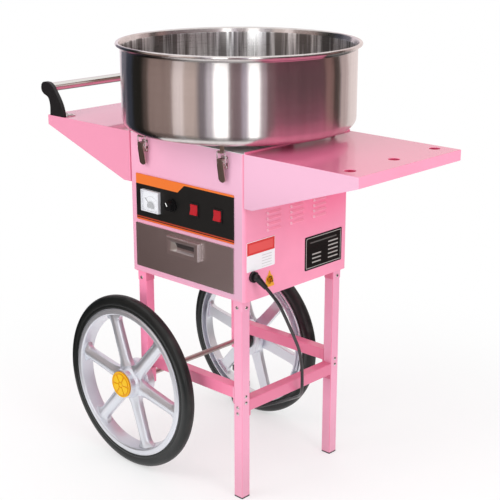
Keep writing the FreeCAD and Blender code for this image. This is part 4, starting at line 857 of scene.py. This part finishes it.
def surroundings():
    """Ring of coloured cards that only reflections see."""
    section = ((CARD_START, CARD_LIFT), (CARD_DISTANCE, CARD_LIFT), (CARD_DISTANCE, CARD_HEIGHT))
    points = []
    faces = []
    tones = []
    for low, high, colour, strength in SURROUNDINGS:
        steps = max(2, (high - low) // 4)
        wall = shade(tone(*colour), strength, math.inf)
        ground = shade(tone(*(min(c, FLOOR_MOST) for c in colour)), strength * FLOOR_TONE, math.inf)
        for step in range(steps):
            first = len(points)
            for share in (step / steps, (step + 1) / steps):
                angle = CAMERA_YAW - math.pi / 2 + math.radians(low + (high - low) * share)
                points += [(SHIFT + distance * math.cos(angle), distance * math.sin(angle), height)
                           for distance, height in section]
            faces += [(first, first + 1, first + 4, first + 3),
                      (first + 1, first + 2, first + 5, first + 4)]
            tones += [ground, wall]
    mesh = bpy.data.meshes.new("surroundings")
    mesh.from_pydata(points, [], faces)
    layer = mesh.color_attributes.new("tone", "FLOAT_COLOR", "CORNER")
    for face, colour in zip(mesh.polygons, tones):
        for loop in face.loop_indices:
            layer.data[loop].color = colour
    card = bpy.data.materials.new("card")
    tree = fresh(card)
    colour = tree.node("ShaderNodeAttribute", {"attribute_name": "tone"}, None, "Color")
    glow = tree.node("ShaderNodeEmission", None, {"Color": colour, "Strength": 1.0})
    tree.node("ShaderNodeOutputMaterial", None, {"Surface": glow})
    mesh.materials.append(card)
    made = link("surroundings", mesh)
    for ray in ("camera", "diffuse", "transmission", "shadow", "volume_scatter"):
        setattr(made, "visible_" + ray, False)
    return made


def floor():
    """Large pale floor that keeps the shadow and fades into the white surroundings."""
    made = link("floor", slab("floor", circle(FLOOR_RADIUS, 96), -FLOOR_SINK, 0.0))
    ground = bpy.data.materials.new("floor")
    tree = fresh(ground)
    away = tree.node("ShaderNodeVectorMath", {"operation": "LENGTH"}, {0: tree.point()}, "Value")
    matt = tree.node("ShaderNodeBsdfPrincipled", None,
                     {"Base Color": (0.94, 0.94, 0.94, 1.0), "Roughness": 0.8,
                      "Specular IOR Level": 0.1})
    glow = tree.node("ShaderNodeEmission", None, {"Color": WHITE, "Strength": 1.0})
    share = (away.step(*FLOOR_FADE) * 0.5 + 0.5) * tree.seen()
    both = tree.node("ShaderNodeMixShader", None, {0: share, 1: matt, 2: glow})
    tree.node("ShaderNodeOutputMaterial", None, {"Surface": both})
    made.data.materials.append(ground)
    return made


def softbox(name, power, size, at, height):
    """Soft rectangular light that no reflection shows."""
    light = bpy.data.lights.new(name, "AREA")
    light.shape = "RECTANGLE"
    light.size, light.size_y = size
    light.energy = power
    made = link(name, light)
    made.location = at
    aim = Vector((0.0, 0.0, height)) - Vector(at)
    made.rotation_euler = aim.to_track_quat("-Z", "Y").to_euler()
    made.visible_glossy = False


class FLOSS_OT_stage(Operator):
    """Set up the floor, the surroundings, the light and the camera"""
    bl_idname = "floss.stage"
    bl_label = "Stage"

    def execute(self, context):
        studio = context.scene.floss_studio
        floor()
        surroundings()
        world = bpy.data.worlds.new("studio")
        tree = fresh(world)
        even, white = (tree.node("ShaderNodeBackground", None, {"Color": WHITE, "Strength": level})
                       for level in (studio.sky, 1.0))
        both = tree.node("ShaderNodeMixShader", None, {0: tree.seen(), 1: even, 2: white})
        tree.node("ShaderNodeOutputWorld", None, {"Surface": both})
        context.scene.world = world
        for name, size, at, height in LIGHTS:
            softbox(name + "_light", getattr(studio, name), size, at, height)
        camera = link("camera", bpy.data.cameras.new("camera"))
        camera.location = CAMERA_PLACE
        camera.rotation_euler = (math.pi / 2 - CAMERA_PITCH, 0.0, CAMERA_YAW)
        camera.data.lens = studio.lens
        context.scene.camera = camera
        context.scene.view_settings.view_transform = "Standard"
        return {"FINISHED"}


# ----------------------------------------------------------------- supply cord
CORD_DIAMETER = 7.0 * MM
CORD_ROUTE = (
    (200, -130, 483), (222, -120.8, 458.7), (218, -93.5, 418.5), (206, -52, 361),
    (191, -11.5, 307), (181, 8, 252), (176.5, 13, 198), (119, 70, 155), (46, 139, 107),
    (-28, 172, 62), (-100, 173, 25), (-163, 166, 3.5), (-212, 194, 3.5), (-236.5, 219, 3.5))
COIL_CENTRE = (-280.0, 262.0)
COIL_LAYERS = ((43.5, 3.5), (36.5, 3.5), (36.5, 10.5), (43.5, 10.5))     # radius, height
COIL_EXIT = math.radians(60.0)
COIL_EXIT_RUN = 45.0            # from the coil to the plug's tail
POINTS_A_TURN = 16
PLUG_TAIL = 22.0
PLUG_RIBS = 22                  # steps along the ribbed tail
PLUG_SIDES = 32
PLUG_LENGTH = 30.0
PLUG_HALF = (16.0, 9.9)         # half width and half height
PIN_APART = 19.0


def coil_point(radius, turn, height, run=0.0):
    """Point on the coil, or run further along the tangent there."""
    return (COIL_CENTRE[0] + radius * math.cos(turn) - run * math.sin(turn),
            COIL_CENTRE[1] + radius * math.sin(turn) + run * math.cos(turn), height)


def coil_points():
    """Four turns beside and on each other, then straight out to the plug."""
    outward = 1.0 / math.cos(math.pi / POINTS_A_TURN)
    result = []
    for number, (radius, height) in enumerate(COIL_LAYERS):
        after = COIL_LAYERS[min(number + 1, len(COIL_LAYERS) - 1)]
        for step in range(POINTS_A_TURN):
            share = max(0.0, (step - POINTS_A_TURN + 4) / 4.0)
            result.append(coil_point((radius + (after[0] - radius) * share) * outward,
                                     2 * math.pi * step / POINTS_A_TURN,
                                     height + (after[1] - height) * share))
    radius, height = COIL_LAYERS[-1]
    result += [coil_point(radius * outward, math.radians(angle), height)
               for angle in (0.0, 22.5, 45.0)]
    return result + [coil_point(radius, COIL_EXIT, height, run)
                     for run in (8.0, 26.0, COIL_EXIT_RUN + 4.0)]


def plug_mesh():
    """Flat two-pin plug: ribbed tail, waisted body, two pins."""
    radius, axis = COIL_LAYERS[-1]
    front = COIL_EXIT_RUN + PLUG_TAIL
    stations = []
    for step in range(PLUG_RIBS + 1):
        share = step / PLUG_RIBS
        size = 4.5 + 2.0 * share - (0.7 if step % 2 and 1 < step < PLUG_RIBS - 2 else 0.0)
        stations.append((COIL_EXIT_RUN + PLUG_TAIL * share, size, size, 1.0))
    for share, width, height in ((0.0, 0.62, 0.72), (0.06, 0.80, 0.86), (0.2, 0.92, 0.94),
                                 (0.45, 0.84, 0.90), (0.7, 0.94, 0.97), (0.92, 1.0, 1.0),
                                 (0.99, 0.96, 0.94), (1.0, 0.90, 0.86)):
        stations.append((front + PLUG_LENGTH * share, PLUG_HALF[0] * width,
                         PLUG_HALF[1] * height, 0.55))
    rings = []
    for along, width, height, power in stations:
        ring = [[math.copysign(abs(part) ** power, part) for part in spot]
                for spot in circle(1.0, PLUG_SIDES)]
        rings.append([(along, across * width, max(axis + up * height, 0.1))
                      for across, up in ring])
    pins = [skinned("pin", [[(front + PLUG_LENGTH - 1.0 + run, side + y, axis + z)
                             for y, z in circle(size, 20, 45.0)]
                            for run, size in ((0.0, 2.4), (2.0, 2.4), (17.5, 2.4), (19.2, 2.0),
                                              (20.0, 0.9))])
            for side in (-PIN_APART / 2, PIN_APART / 2)]
    mesh = joined("plug", [skinned("plug_body", rings), *pins])
    mesh.transform(Matrix.Translation(in_frame(coil_point(radius, COIL_EXIT, 0.0)))
                   @ Matrix.Rotation(COIL_EXIT + math.pi / 2, 4, "Z") @ Matrix.Scale(MM, 4))
    return mesh


class FLOSS_OT_supply(Operator):
    """Lay the supply cord with its coil and plug, and dress the cable gland"""
    bl_idname = "floss.supply"
    bl_label = "Supply cord"

    def execute(self, context):
        points = [in_frame(point) for point in list(CORD_ROUTE) + coil_points()]
        curve = bpy.data.curves.new("supply_lead", "CURVE")
        curve.dimensions = "3D"
        curve.bevel_depth = CORD_DIAMETER / 2
        curve.bevel_resolution = 4
        curve.resolution_u = 6
        curve.use_fill_caps = True
        spline = curve.splines.new("NURBS")
        spline.points.add(len(points) - 1)
        for slot, point in zip(spline.points, points):
            slot.co = (*point, 1.0)
        spline.order_u = 3
        spline.use_endpoint_u = True
        lead = dress(link("supply_lead", curve), ("supply_cord", "cord_coil"), "cord")
        end = soften(link("mains_plug", plug_mesh()), 0.0, angle=50.0)
        dress(end, "plug", "cord")
        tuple(points[0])
        return coat_nodes(("cable_gland", "strain_relief", "black"))


# ----------------------------------------------------------------- sheet metal
class FLOSS_OT_body(Operator):
    """Dress the cabinet, the deck, both wings and the drawer runners"""
    bl_idname = "floss.body"
    bl_label = "Body"

    def execute(self, context):
        edge = sizes().edge
        return coat_nodes(("cabinet", "body_shell", "body", edge),
                          ("wing_right", "right_wing", "body", edge),
                          ("wing_left", "left_wing", "body", edge),
                          ("deck_plate", "deck", "deck", edge * 0.6),
                          ("drawer_runners", "runners", "runner", 0.0003))


def bowl_outline():
    """Section of the bowl: floor, round corner, wall, flared and rolled rim, collar."""
    wall, sheet, floor_z, bend = 250.0, 1.2, 775.0, 22.0
    rim, bead, bead_z, flare = 256.0, 4.0, 950.0, 9.0
    well, well_top = 62.0, 797.0
    inner = wall - sheet
    middle = (wall - bend, floor_z + bend)
    return [(well, floor_z + 0.4), (well + 0.4, floor_z), *arc(middle, bend, -90.0, 0.0, 8),
            (wall, 820.0), (wall, 860.0), (wall, 905.0), (wall, bead_z - flare - 1.0),
            (wall + 0.3, bead_z - flare), *arc((rim, bead_z), bead, -115.0, 170.0, 16),
            (inner + 0.3, bead_z - flare + sheet), (inner, bead_z - flare),
            (inner, 905.0), (inner, 860.0), (inner, 820.0),
            *arc(middle, bend - sheet, 0.0, -90.0, 8),
            (well + sheet + 1.5, floor_z + sheet), (well + sheet, floor_z + sheet + 1.5),
            (well + sheet, well_top - 0.4), (well + sheet - 0.4, well_top),
            (well + 0.4, well_top), (well, well_top - 0.4)]


class FLOSS_OT_bowl(Operator):
    """Turn the bowl and dress its buffers and catches"""
    bl_idname = "floss.bowl"
    bl_label = "Bowl"

    def execute(self, context):
        mesh = to_frame(turned("bowl", bowl_outline(), sizes().bowl_steps))
        dress(soften(link("spun_bowl", mesh), 0.0, angle=50.0), "bowl", "bowl")
        return coat_nodes(("bowl_buffers", "buffers", "rubber", 0.001),
                          ("bowl_catches", "catches", "latch", 0.0003))


class FLOSS_OT_latches(Operator):
    """Dress the four draw latches"""
    bl_idname = "floss.latches"
    bl_label = "Latches"

    def execute(self, context):
        coat_node("latch_bases", "latch_plates", "hasp", 0.0003)
        for where in ("front_left", "front_right", "rear_left", "rear_right"):
            coat_node("latch_lever_" + where, "lever_" + where, "latch")
            coat_node("latch_bail_" + where, "bail_" + where, "zinc", 0.0)
        return {"FINISHED"}


class FLOSS_OT_frame(Operator):
    """Dress the legs, feet, collars and rails"""
    bl_idname = "floss.frame"
    bl_label = "Frame"

    def execute(self, context):
        for where in ("front_right", "rear_right", "front_left", "rear_left"):
            coat_node("leg_" + where, "tube_leg_" + where, "legs", 0.0003)
        return coat_nodes(("leg_collars", "collars", "legs", 0.0004),
                          ("side_rail", "rail_side", "legs", 0.0004),
                          ("cross_rails", "rails_across", "legs", 0.0004),
                          ("leg_plugs", "feet", "black", 0.0006))


# ---------------------------------------------------------------------- screws
SCREW_SIDES = 24
SCREW_SIZE = 1.15               # of the head that is drawn
SCREW_TURNS = (0.7, 1.9)        # turn of the first screw's recess and what each next adds
SCREW_RINGS = ((3.4, 0.0), (3.4, 0.7), (3.15, 1.15), (2.5, 1.5), (1.9, 1.68))    # radius, height
RECESS_ARM = (1.75, 1.72)
RECESS_CORNER = (0.55, 1.78)
RECESS_FLOOR = 0.7
LEG_MIDDLE = 146.5              # from the bowl's axis, both ways
LEG_FACE = 158.5
COLLAR_SHEET = 1.4
COLLAR_SCREW = 435.0
SIDE_SCREWS = (222.0, 236.0)
CROSS_SCREWS = (197.0, 211.0)


def screw_head():
    """Domed head with a cross recess, in metres, standing on the origin."""
    rings = [[(x, y, height) for x, y in circle(radius, SCREW_SIDES)]
             for radius, height in SCREW_RINGS]
    top = []
    for side, (x, y) in enumerate(circle(1.0, SCREW_SIDES)):
        radius, height = RECESS_ARM if side % 6 in (0, 1, 5) else RECESS_CORNER
        top.append((x * radius, y * radius, height))
    mesh = skinned("screw_head", rings + [top, [(x * 0.75, y * 0.75, RECESS_FLOOR)
                                                for x, y, _ in top]])
    mesh.transform(Matrix.Scale(MM, 4))
    mesh.shade_smooth()
    mesh.set_sharp_from_angle(angle=math.radians(40))
    return mesh


class FLOSS_OT_screws(Operator):
    """Set the frame's screws"""
    bl_idname = "floss.screws"
    bl_label = "Screws"

    def execute(self, context):
        places = []
        for right in (-1, 1):
            for back in (-1, 1):
                x, y = right * LEG_MIDDLE, back * LEG_MIDDLE
                sideways, endways = (0, back, 0), (right, 0, 0)
                places += [((x, back * (LEG_FACE + COLLAR_SHEET), COLLAR_SCREW), sideways),
                           ((right * (LEG_FACE + COLLAR_SHEET), y, COLLAR_SCREW), endways)]
                for side, cross in zip(SIDE_SCREWS, CROSS_SCREWS):
                    places.append(((right * LEG_FACE, y, side), endways))
                    if right > 0:
                        places.append(((x, back * LEG_FACE, cross), sideways))
        first, more = SCREW_TURNS
        places = [(in_frame(place), facing, first + more * number)
                  for number, (place, facing) in enumerate(places)]
        made = repeated("screws", screw_head(), places, "zinc", SCREW_SIZE)
        dress(made, "frame_screws", "zinc")
        return {"FINISHED"}


# ---------------------------------------------------------------------- wheels
WHEEL_PLANE = 201.5             # from the middle of the machine to the middle of a wheel
SPOKE_LOW, SPOKE_SHOULDER, SPOKE_HIGH = -8.5, 3.6, 8.5
SPOKE_STATIONS = (22.0, 30.0, 36.0, 40.0, 44.0, 48.0, 53.0, 60.0, 72.0, 90.0, 108.0, 122.0, 131.0,
                  137.0, 141.5, 145.0, 148.0, 150.5, 153.0, 156.0, 160.0)
RING_OUTLINE = ((171.0, -13.0, 0.5), (171.0, 13.0, 0.8), (167.5, 15.0, 2.5), (158.6, 15.0, 2.5),
                (156.6, 12.0, 3.0), (151.2, -11.0, 2.0), (150.0, -15.0, 0.8), (153.0, -15.0, 0.8),
                (159.0, 7.0, 2.0), (166.0, 7.0, 2.0), (167.0, -15.0, 0.6), (169.0, -15.0, 0.6))
HUB_OUTLINE = ((6.05, -31.5, 0.3), (46.0, -31.5, 2.5), (46.0, -13.0, 3.0), (39.5, -9.0, 3.0),
               (37.5, 8.5, 4.0), (33.0, 15.0, 4.0), (33.0, 26.5, 1.8), (26.0, 26.5, 0.4),
               (26.0, 12.5, 0.5), (6.05, 12.5, 0.4))
CAP_OUTLINE = ((0.6, 26.6, 0.0), (30.0, 26.6, 0.3), (30.0, 30.4, 1.2), (27.6, 30.4, 0.8),
               (26.6, 29.8, 0.4), (5.2, 29.8, 0.2), (4.6, 31.0, 0.5), (0.6, 31.2, 0.0))
PETAL_OUTLINE = ((7.0, -3.2, 1.2), (22.5, -10.6, 3.0), (24.5, 0.0, 14.0), (22.5, 10.6, 3.0),
                 (7.0, 3.2, 1.2))
SKIRT_OUTLINE = ((24.2, 22.6), (25.9, 22.6), (25.9, 26.8), (24.2, 26.8))


def to_wheel(mesh, side):
    """Stand a mesh drawn in XY millimetres, outer side up, upright on the axle."""
    mesh.transform(Matrix.Translation((0.0, -WHEEL_PLANE * MM, 0.0))
                   @ Matrix.Rotation(math.pi / 2, 4, "X") @ Matrix.Scale(MM, 4))
    if side > 0:
        mesh.transform(Matrix.Scale(-1.0, 4, (0.0, 1.0, 0.0)))
        mesh.flip_normals()
    mesh.transform(Matrix.Translation(in_frame((AXLE[0], 0.0, AXLE[1]))))
    return mesh


def spoke_mesh():
    """One spoke with a flat ridge, spreading into the hub and the rim; drawn along +X."""
    def spread(amount, distance, reach):
        return amount * math.exp(-max(distance, 0.0) / reach)

    rings = []
    for out in SPOKE_STATIONS:
        width = (15.5 - 3.0 * (out - 22.0) / 138.0 + spread(9.0, out - 38.0, 7.0)
                 + spread(12.0, 152.0 - out, 5.0))
        flat = 4.2 + spread(1.2, out - 38.0, 10.0)
        crest = SPOKE_HIGH + spread(1.6, out - 36.0, 10.0)
        side = [(-width + 0.8, SPOKE_LOW), (-width, SPOKE_LOW + 0.8),
                (-width, SPOKE_SHOULDER - 1.0), (-width + 0.7, SPOKE_SHOULDER + 0.2),
                (-flat - 0.8, crest - 0.45), (-flat + 0.5, crest)]
        side += [(-across, up) for across, up in reversed(side)]
        rings.append([(out * math.cos(across / out), out * math.sin(across / out), up)
                      for across, up in side])
    return skinned("spoke", rings)


def round_axle(name, mesh, count, start, key):
    """Mesh of several copies of one shape round the wheel's middle; start in degrees."""
    turns = [math.radians(start) + 2 * math.pi * n / count for n in range(count)]
    made = repeated(name, mesh, [((0, 0, 0), (0, 0, 1), turn) for turn in turns], key)
    mesh = made.data
    bpy.data.objects.remove(made)
    return mesh


def wheel_mesh():
    return joined("wheel", [turned("ring", corner(RING_OUTLINE), sizes().tyre_steps),
                            turned("hub", corner(HUB_OUTLINE), 96),
                            round_axle("spokes", spoke_mesh(), sizes().spokes, 48.5, "rim")])


def tyre_mesh():
    """Tyre section with rounded shoulders and a bead line on each side."""
    bead = [(171.9, 12.1), (174.0, 13.0), (177.2, 13.0), (177.8, 12.6), (178.6, 12.6),
            (179.2, 13.0)]
    outline = [(171.0, -9.8), (171.0, 9.8), *bead, *arc((187.5, 1.0), 12.0, 90.0, 0.0, 8),
               *arc((187.5, -1.0), 12.0, 0.0, -90.0, 8), *((r, -h) for r, h in reversed(bead))]
    return turned("tyre", outline, sizes().tyre_steps)


def cap_mesh():
    """Hub cap: rimmed disc with six raised wedges and a skirt that sits in the hub."""
    petal = slab("petal", corner(PETAL_OUTLINE), 29.6, 30.9)
    return joined("cap", [turned("disc", corner(CAP_OUTLINE, 3), 72),
                          round_axle("petals", petal, 6, 30.0, "cap"),
                          turned("skirt", SKIRT_OUTLINE, 72)])


class FLOSS_OT_wheels(Operator):
    """Make both wheels with tyres and hub caps, the axle and its bushes"""
    bl_idname = "floss.wheels"
    bl_label = "Wheels"

    def execute(self, context):
        for side, where in ((-1, "front"), (1, "rear")):
            wheel = link("moulded_wheel_" + where, to_wheel(wheel_mesh(), side))
            dress(soften(wheel, 0.0, angle=38.0), "wheel_" + where, "rim")
            tyre = link("solid_tyre_" + where, to_wheel(tyre_mesh(), side))
            dress(soften(tyre, 0.0, angle=40.0), "tyre_" + where, "tyre")
            cap = link("cap_" + where, to_wheel(cap_mesh(), side))
            dress(plain(soften(cap, 0.0003, angle=35.0)), "hub_cap_" + where, "cap")
        return coat_nodes(("axle", "axle_shaft", "axle", 0.0006),
                          ("axle_bushes", "bushes", "black", 0.0008))


# -------------------------------------------------------------------- push bar
HORN_FACE = 0.164               # outer faces of the horns
HORN_DEPTH = 0.026              # thickness of the solids' horns
BAR_END = 0.151                 # past this the bar's ends reach into the horns
TAB_MIDDLE = 0.1340             # the tabs stay put on their inner side of this
BAR_FOOT = 0.800


class FLOSS_OT_handle(Operator):
    """Dress the push bar, its slim horns and the tabs that lean on them"""
    bl_idname = "floss.handle"
    bl_label = "Push bar"

    def execute(self, context):
        slim = sizes().horn
        closer = HORN_DEPTH - slim
        coat_node("push_bar", "bar", "bar",
                  depth=lambda y, z: HORN_FACE - slim / 2 if y > BAR_END else y)
        coat_node("horns", "bar_horns", "black", 0.0022, 3,
                  depth=lambda y, z: HORN_FACE - (HORN_FACE - y) * slim / HORN_DEPTH)
        coat_node("horn_tabs", "tabs", "zinc", 0.0004,
                  depth=lambda y, z: y + closer if y > TAB_MIDDLE or z > BAR_FOOT else y)
        return {"FINISHED"}


# ----------------------------------------------------------------------- panel
CARD_HALF = (25.7, 21.7)
CARD_MIDDLE = 618.5             # height of the card's middle
CARD_FACES = (167.55, 167.9)
COVER_FACES = (170.3, 171.0)
FOOT_FACES = (167.7, 170.4)
MARK_FACES = ((170.0, 170.3), (170.3, 170.8))
EARTH = (-88.0, 484.0)          # y and z of the earth terminal


def dial_card():
    """Card behind the meter's window and the arched cover in front of the needle's pin."""
    pin_x, pin_z = METER

    def plate(name, left, right, low, high, faces):
        return slab(name, [(pin_x + left, low), (pin_x + right, low), (pin_x + right, high),
                           (pin_x + left, high)], *faces)

    wide, tall = CARD_HALF
    card = plate("card", -wide, wide, CARD_MIDDLE - tall, CARD_MIDDLE + tall, CARD_FACES)
    arch = [(pin_x - 9.8, pin_z - 1.5), (pin_x + 9.8, pin_z - 1.5)]
    arch += [(pin_x + 9.8 * x, pin_z + 3.0 + 9.6 * y) for x, y in arc((0, 0), 1.0, 0.0, 180.0, 12)]
    feet = [plate("foot", left, left + 2.0, pin_z - 1.4, pin_z + 0.4, FOOT_FACES)
            for left in (-9.6, 7.6)]
    mesh = joined("dial", [card], [slab("cover", arch, *COVER_FACES), *feet])
    return to_frame(mesh, Matrix.Rotation(math.pi / 2, 4, "X"))


def earth_mark():
    """Plain yellow triangle and disc behind the earth terminal."""
    y, z = EARTH
    triangle = corner([(y - 15.5, z - 15.0, 1.5), (y + 15.5, z - 15.0, 1.5), (y, z + 23.0, 1.5)])
    disc = circle(11.5, 48, middle=EARTH)
    mesh = joined("earth_mark", [slab("mark", outline, *faces)
                                 for outline, faces in zip((triangle, disc), MARK_FACES)])
    return to_frame(mesh, Matrix(((0, 0, 1, 0), (1, 0, 0, 0), (0, 1, 0, 0), (0, 0, 0, 1))))


class FLOSS_OT_panel(Operator):
    """Dress the control panel, meter, knob and rocker switches"""
    bl_idname = "floss.panel"
    bl_label = "Control panel"

    def execute(self, context):
        coat_nodes(("control_panel", "front_panel", "panel", 0.0004),
                   ("meter_case", "meter_body", "meter", 0.0007))
        dress(link("meter_dial", dial_card()), "meter_case", "dial", "cover", extra=True)
        return coat_nodes(("meter_window", "meter_glass", "glass", 0.0004),
                          ("meter_needle", "meter_pointer", "needle", 0.0),
                          ("heat_knob", "knob", "knob", 0.0004, 2, 40.0),
                          ("knob_control", "dimmer", "black", 0.0004),
                          ("rocker_housings", "switch_frames", "switch"),
                          ("rocker_heat", "rocker_left", "rocker"),
                          ("rocker_motor", "rocker_right", "rocker"))


class FLOSS_OT_drawer(Operator):
    """Dress the drawer, its front and its pull"""
    bl_idname = "floss.drawer"
    bl_label = "Drawer"

    def execute(self, context):
        return coat_nodes(("drawer_box", "drawer_tray", "runner", 0.0003),
                          ("drawer_front", "drawer_face", "drawer", 0.0006),
                          ("drawer_pull", "drawer_handle", "pull", 0.0006))


class FLOSS_OT_spinner(Operator):
    """Dress the motor, the bearing and the spinner"""
    bl_idname = "floss.spinner"
    bl_label = "Spinner"

    def execute(self, context):
        return coat_nodes(("motor", "motor_can", "motor", 0.0006),
                          ("bearing_housing", "bearing", "cast", 0.0006),
                          ("spindle", "drive_shaft", "axle"),
                          ("spinner_pan", "spin_pan", "cast"),
                          ("heater_band", "slotted_band", "band", 0.0003),
                          ("spinner_cap", "sugar_cap", "cast"))


class FLOSS_OT_plates(Operator):
    """Dress the label, the data plate and the earth terminal"""
    bl_idname = "floss.plates"
    bl_label = "Plates"

    def execute(self, context):
        coat_node("side_plates", "wall_plates", "plates", 0.0003)
        dress(link("yellow_mark", earth_mark()), "side_plates", "mark", extra=True)
        return {"FINISHED"}


# ---------------------------------------------------------------------- add-on
STEPS = ("stage", "supply", "body", "bowl", "latches", "frame", "screws", "wheels", "handle",
         "panel", "drawer", "spinner", "plates")
GROUPS = {"floss_colours": FlossColours, "floss_sizes": FlossSizes, "floss_studio": FlossStudio}


class FLOSS_PT_cart(Panel):
    """Steps that build the machine"""
    bl_label = "Floss cart"
    bl_idname = "FLOSS_PT_cart"
    bl_space_type = "VIEW_3D"
    bl_region_type = "UI"
    bl_category = "Floss Cart"

    def draw(self, context):
        for step in STEPS:
            self.layout.operator("floss." + step)
        for name in GROUPS:
            group = getattr(context.scene, name)
            for value in group.__annotations__:
                self.layout.prop(group, value)


CLASSES = (*GROUPS.values(), FLOSS_OT_stage, FLOSS_OT_supply, FLOSS_OT_body, FLOSS_OT_bowl,
           FLOSS_OT_latches, FLOSS_OT_frame, FLOSS_OT_screws, FLOSS_OT_wheels, FLOSS_OT_handle,
           FLOSS_OT_panel, FLOSS_OT_drawer, FLOSS_OT_spinner, FLOSS_OT_plates, FLOSS_PT_cart)


def register():
    for entry in CLASSES:
        bpy.utils.register_class(entry)
    for name, group in GROUPS.items():
        setattr(bpy.types.Scene, name, PointerProperty(type=group))


def unregister():
    for name in GROUPS:
        delattr(bpy.types.Scene, name)
    for entry in reversed(CLASSES):
        bpy.utils.unregister_class(entry)


def main():
    register()
    for step in STEPS:
        result = getattr(bpy.ops.floss, step)()
        if result != {"FINISHED"}:
            raise RuntimeError("step not finished: " + step)


if __name__ == "__main__":
    main()
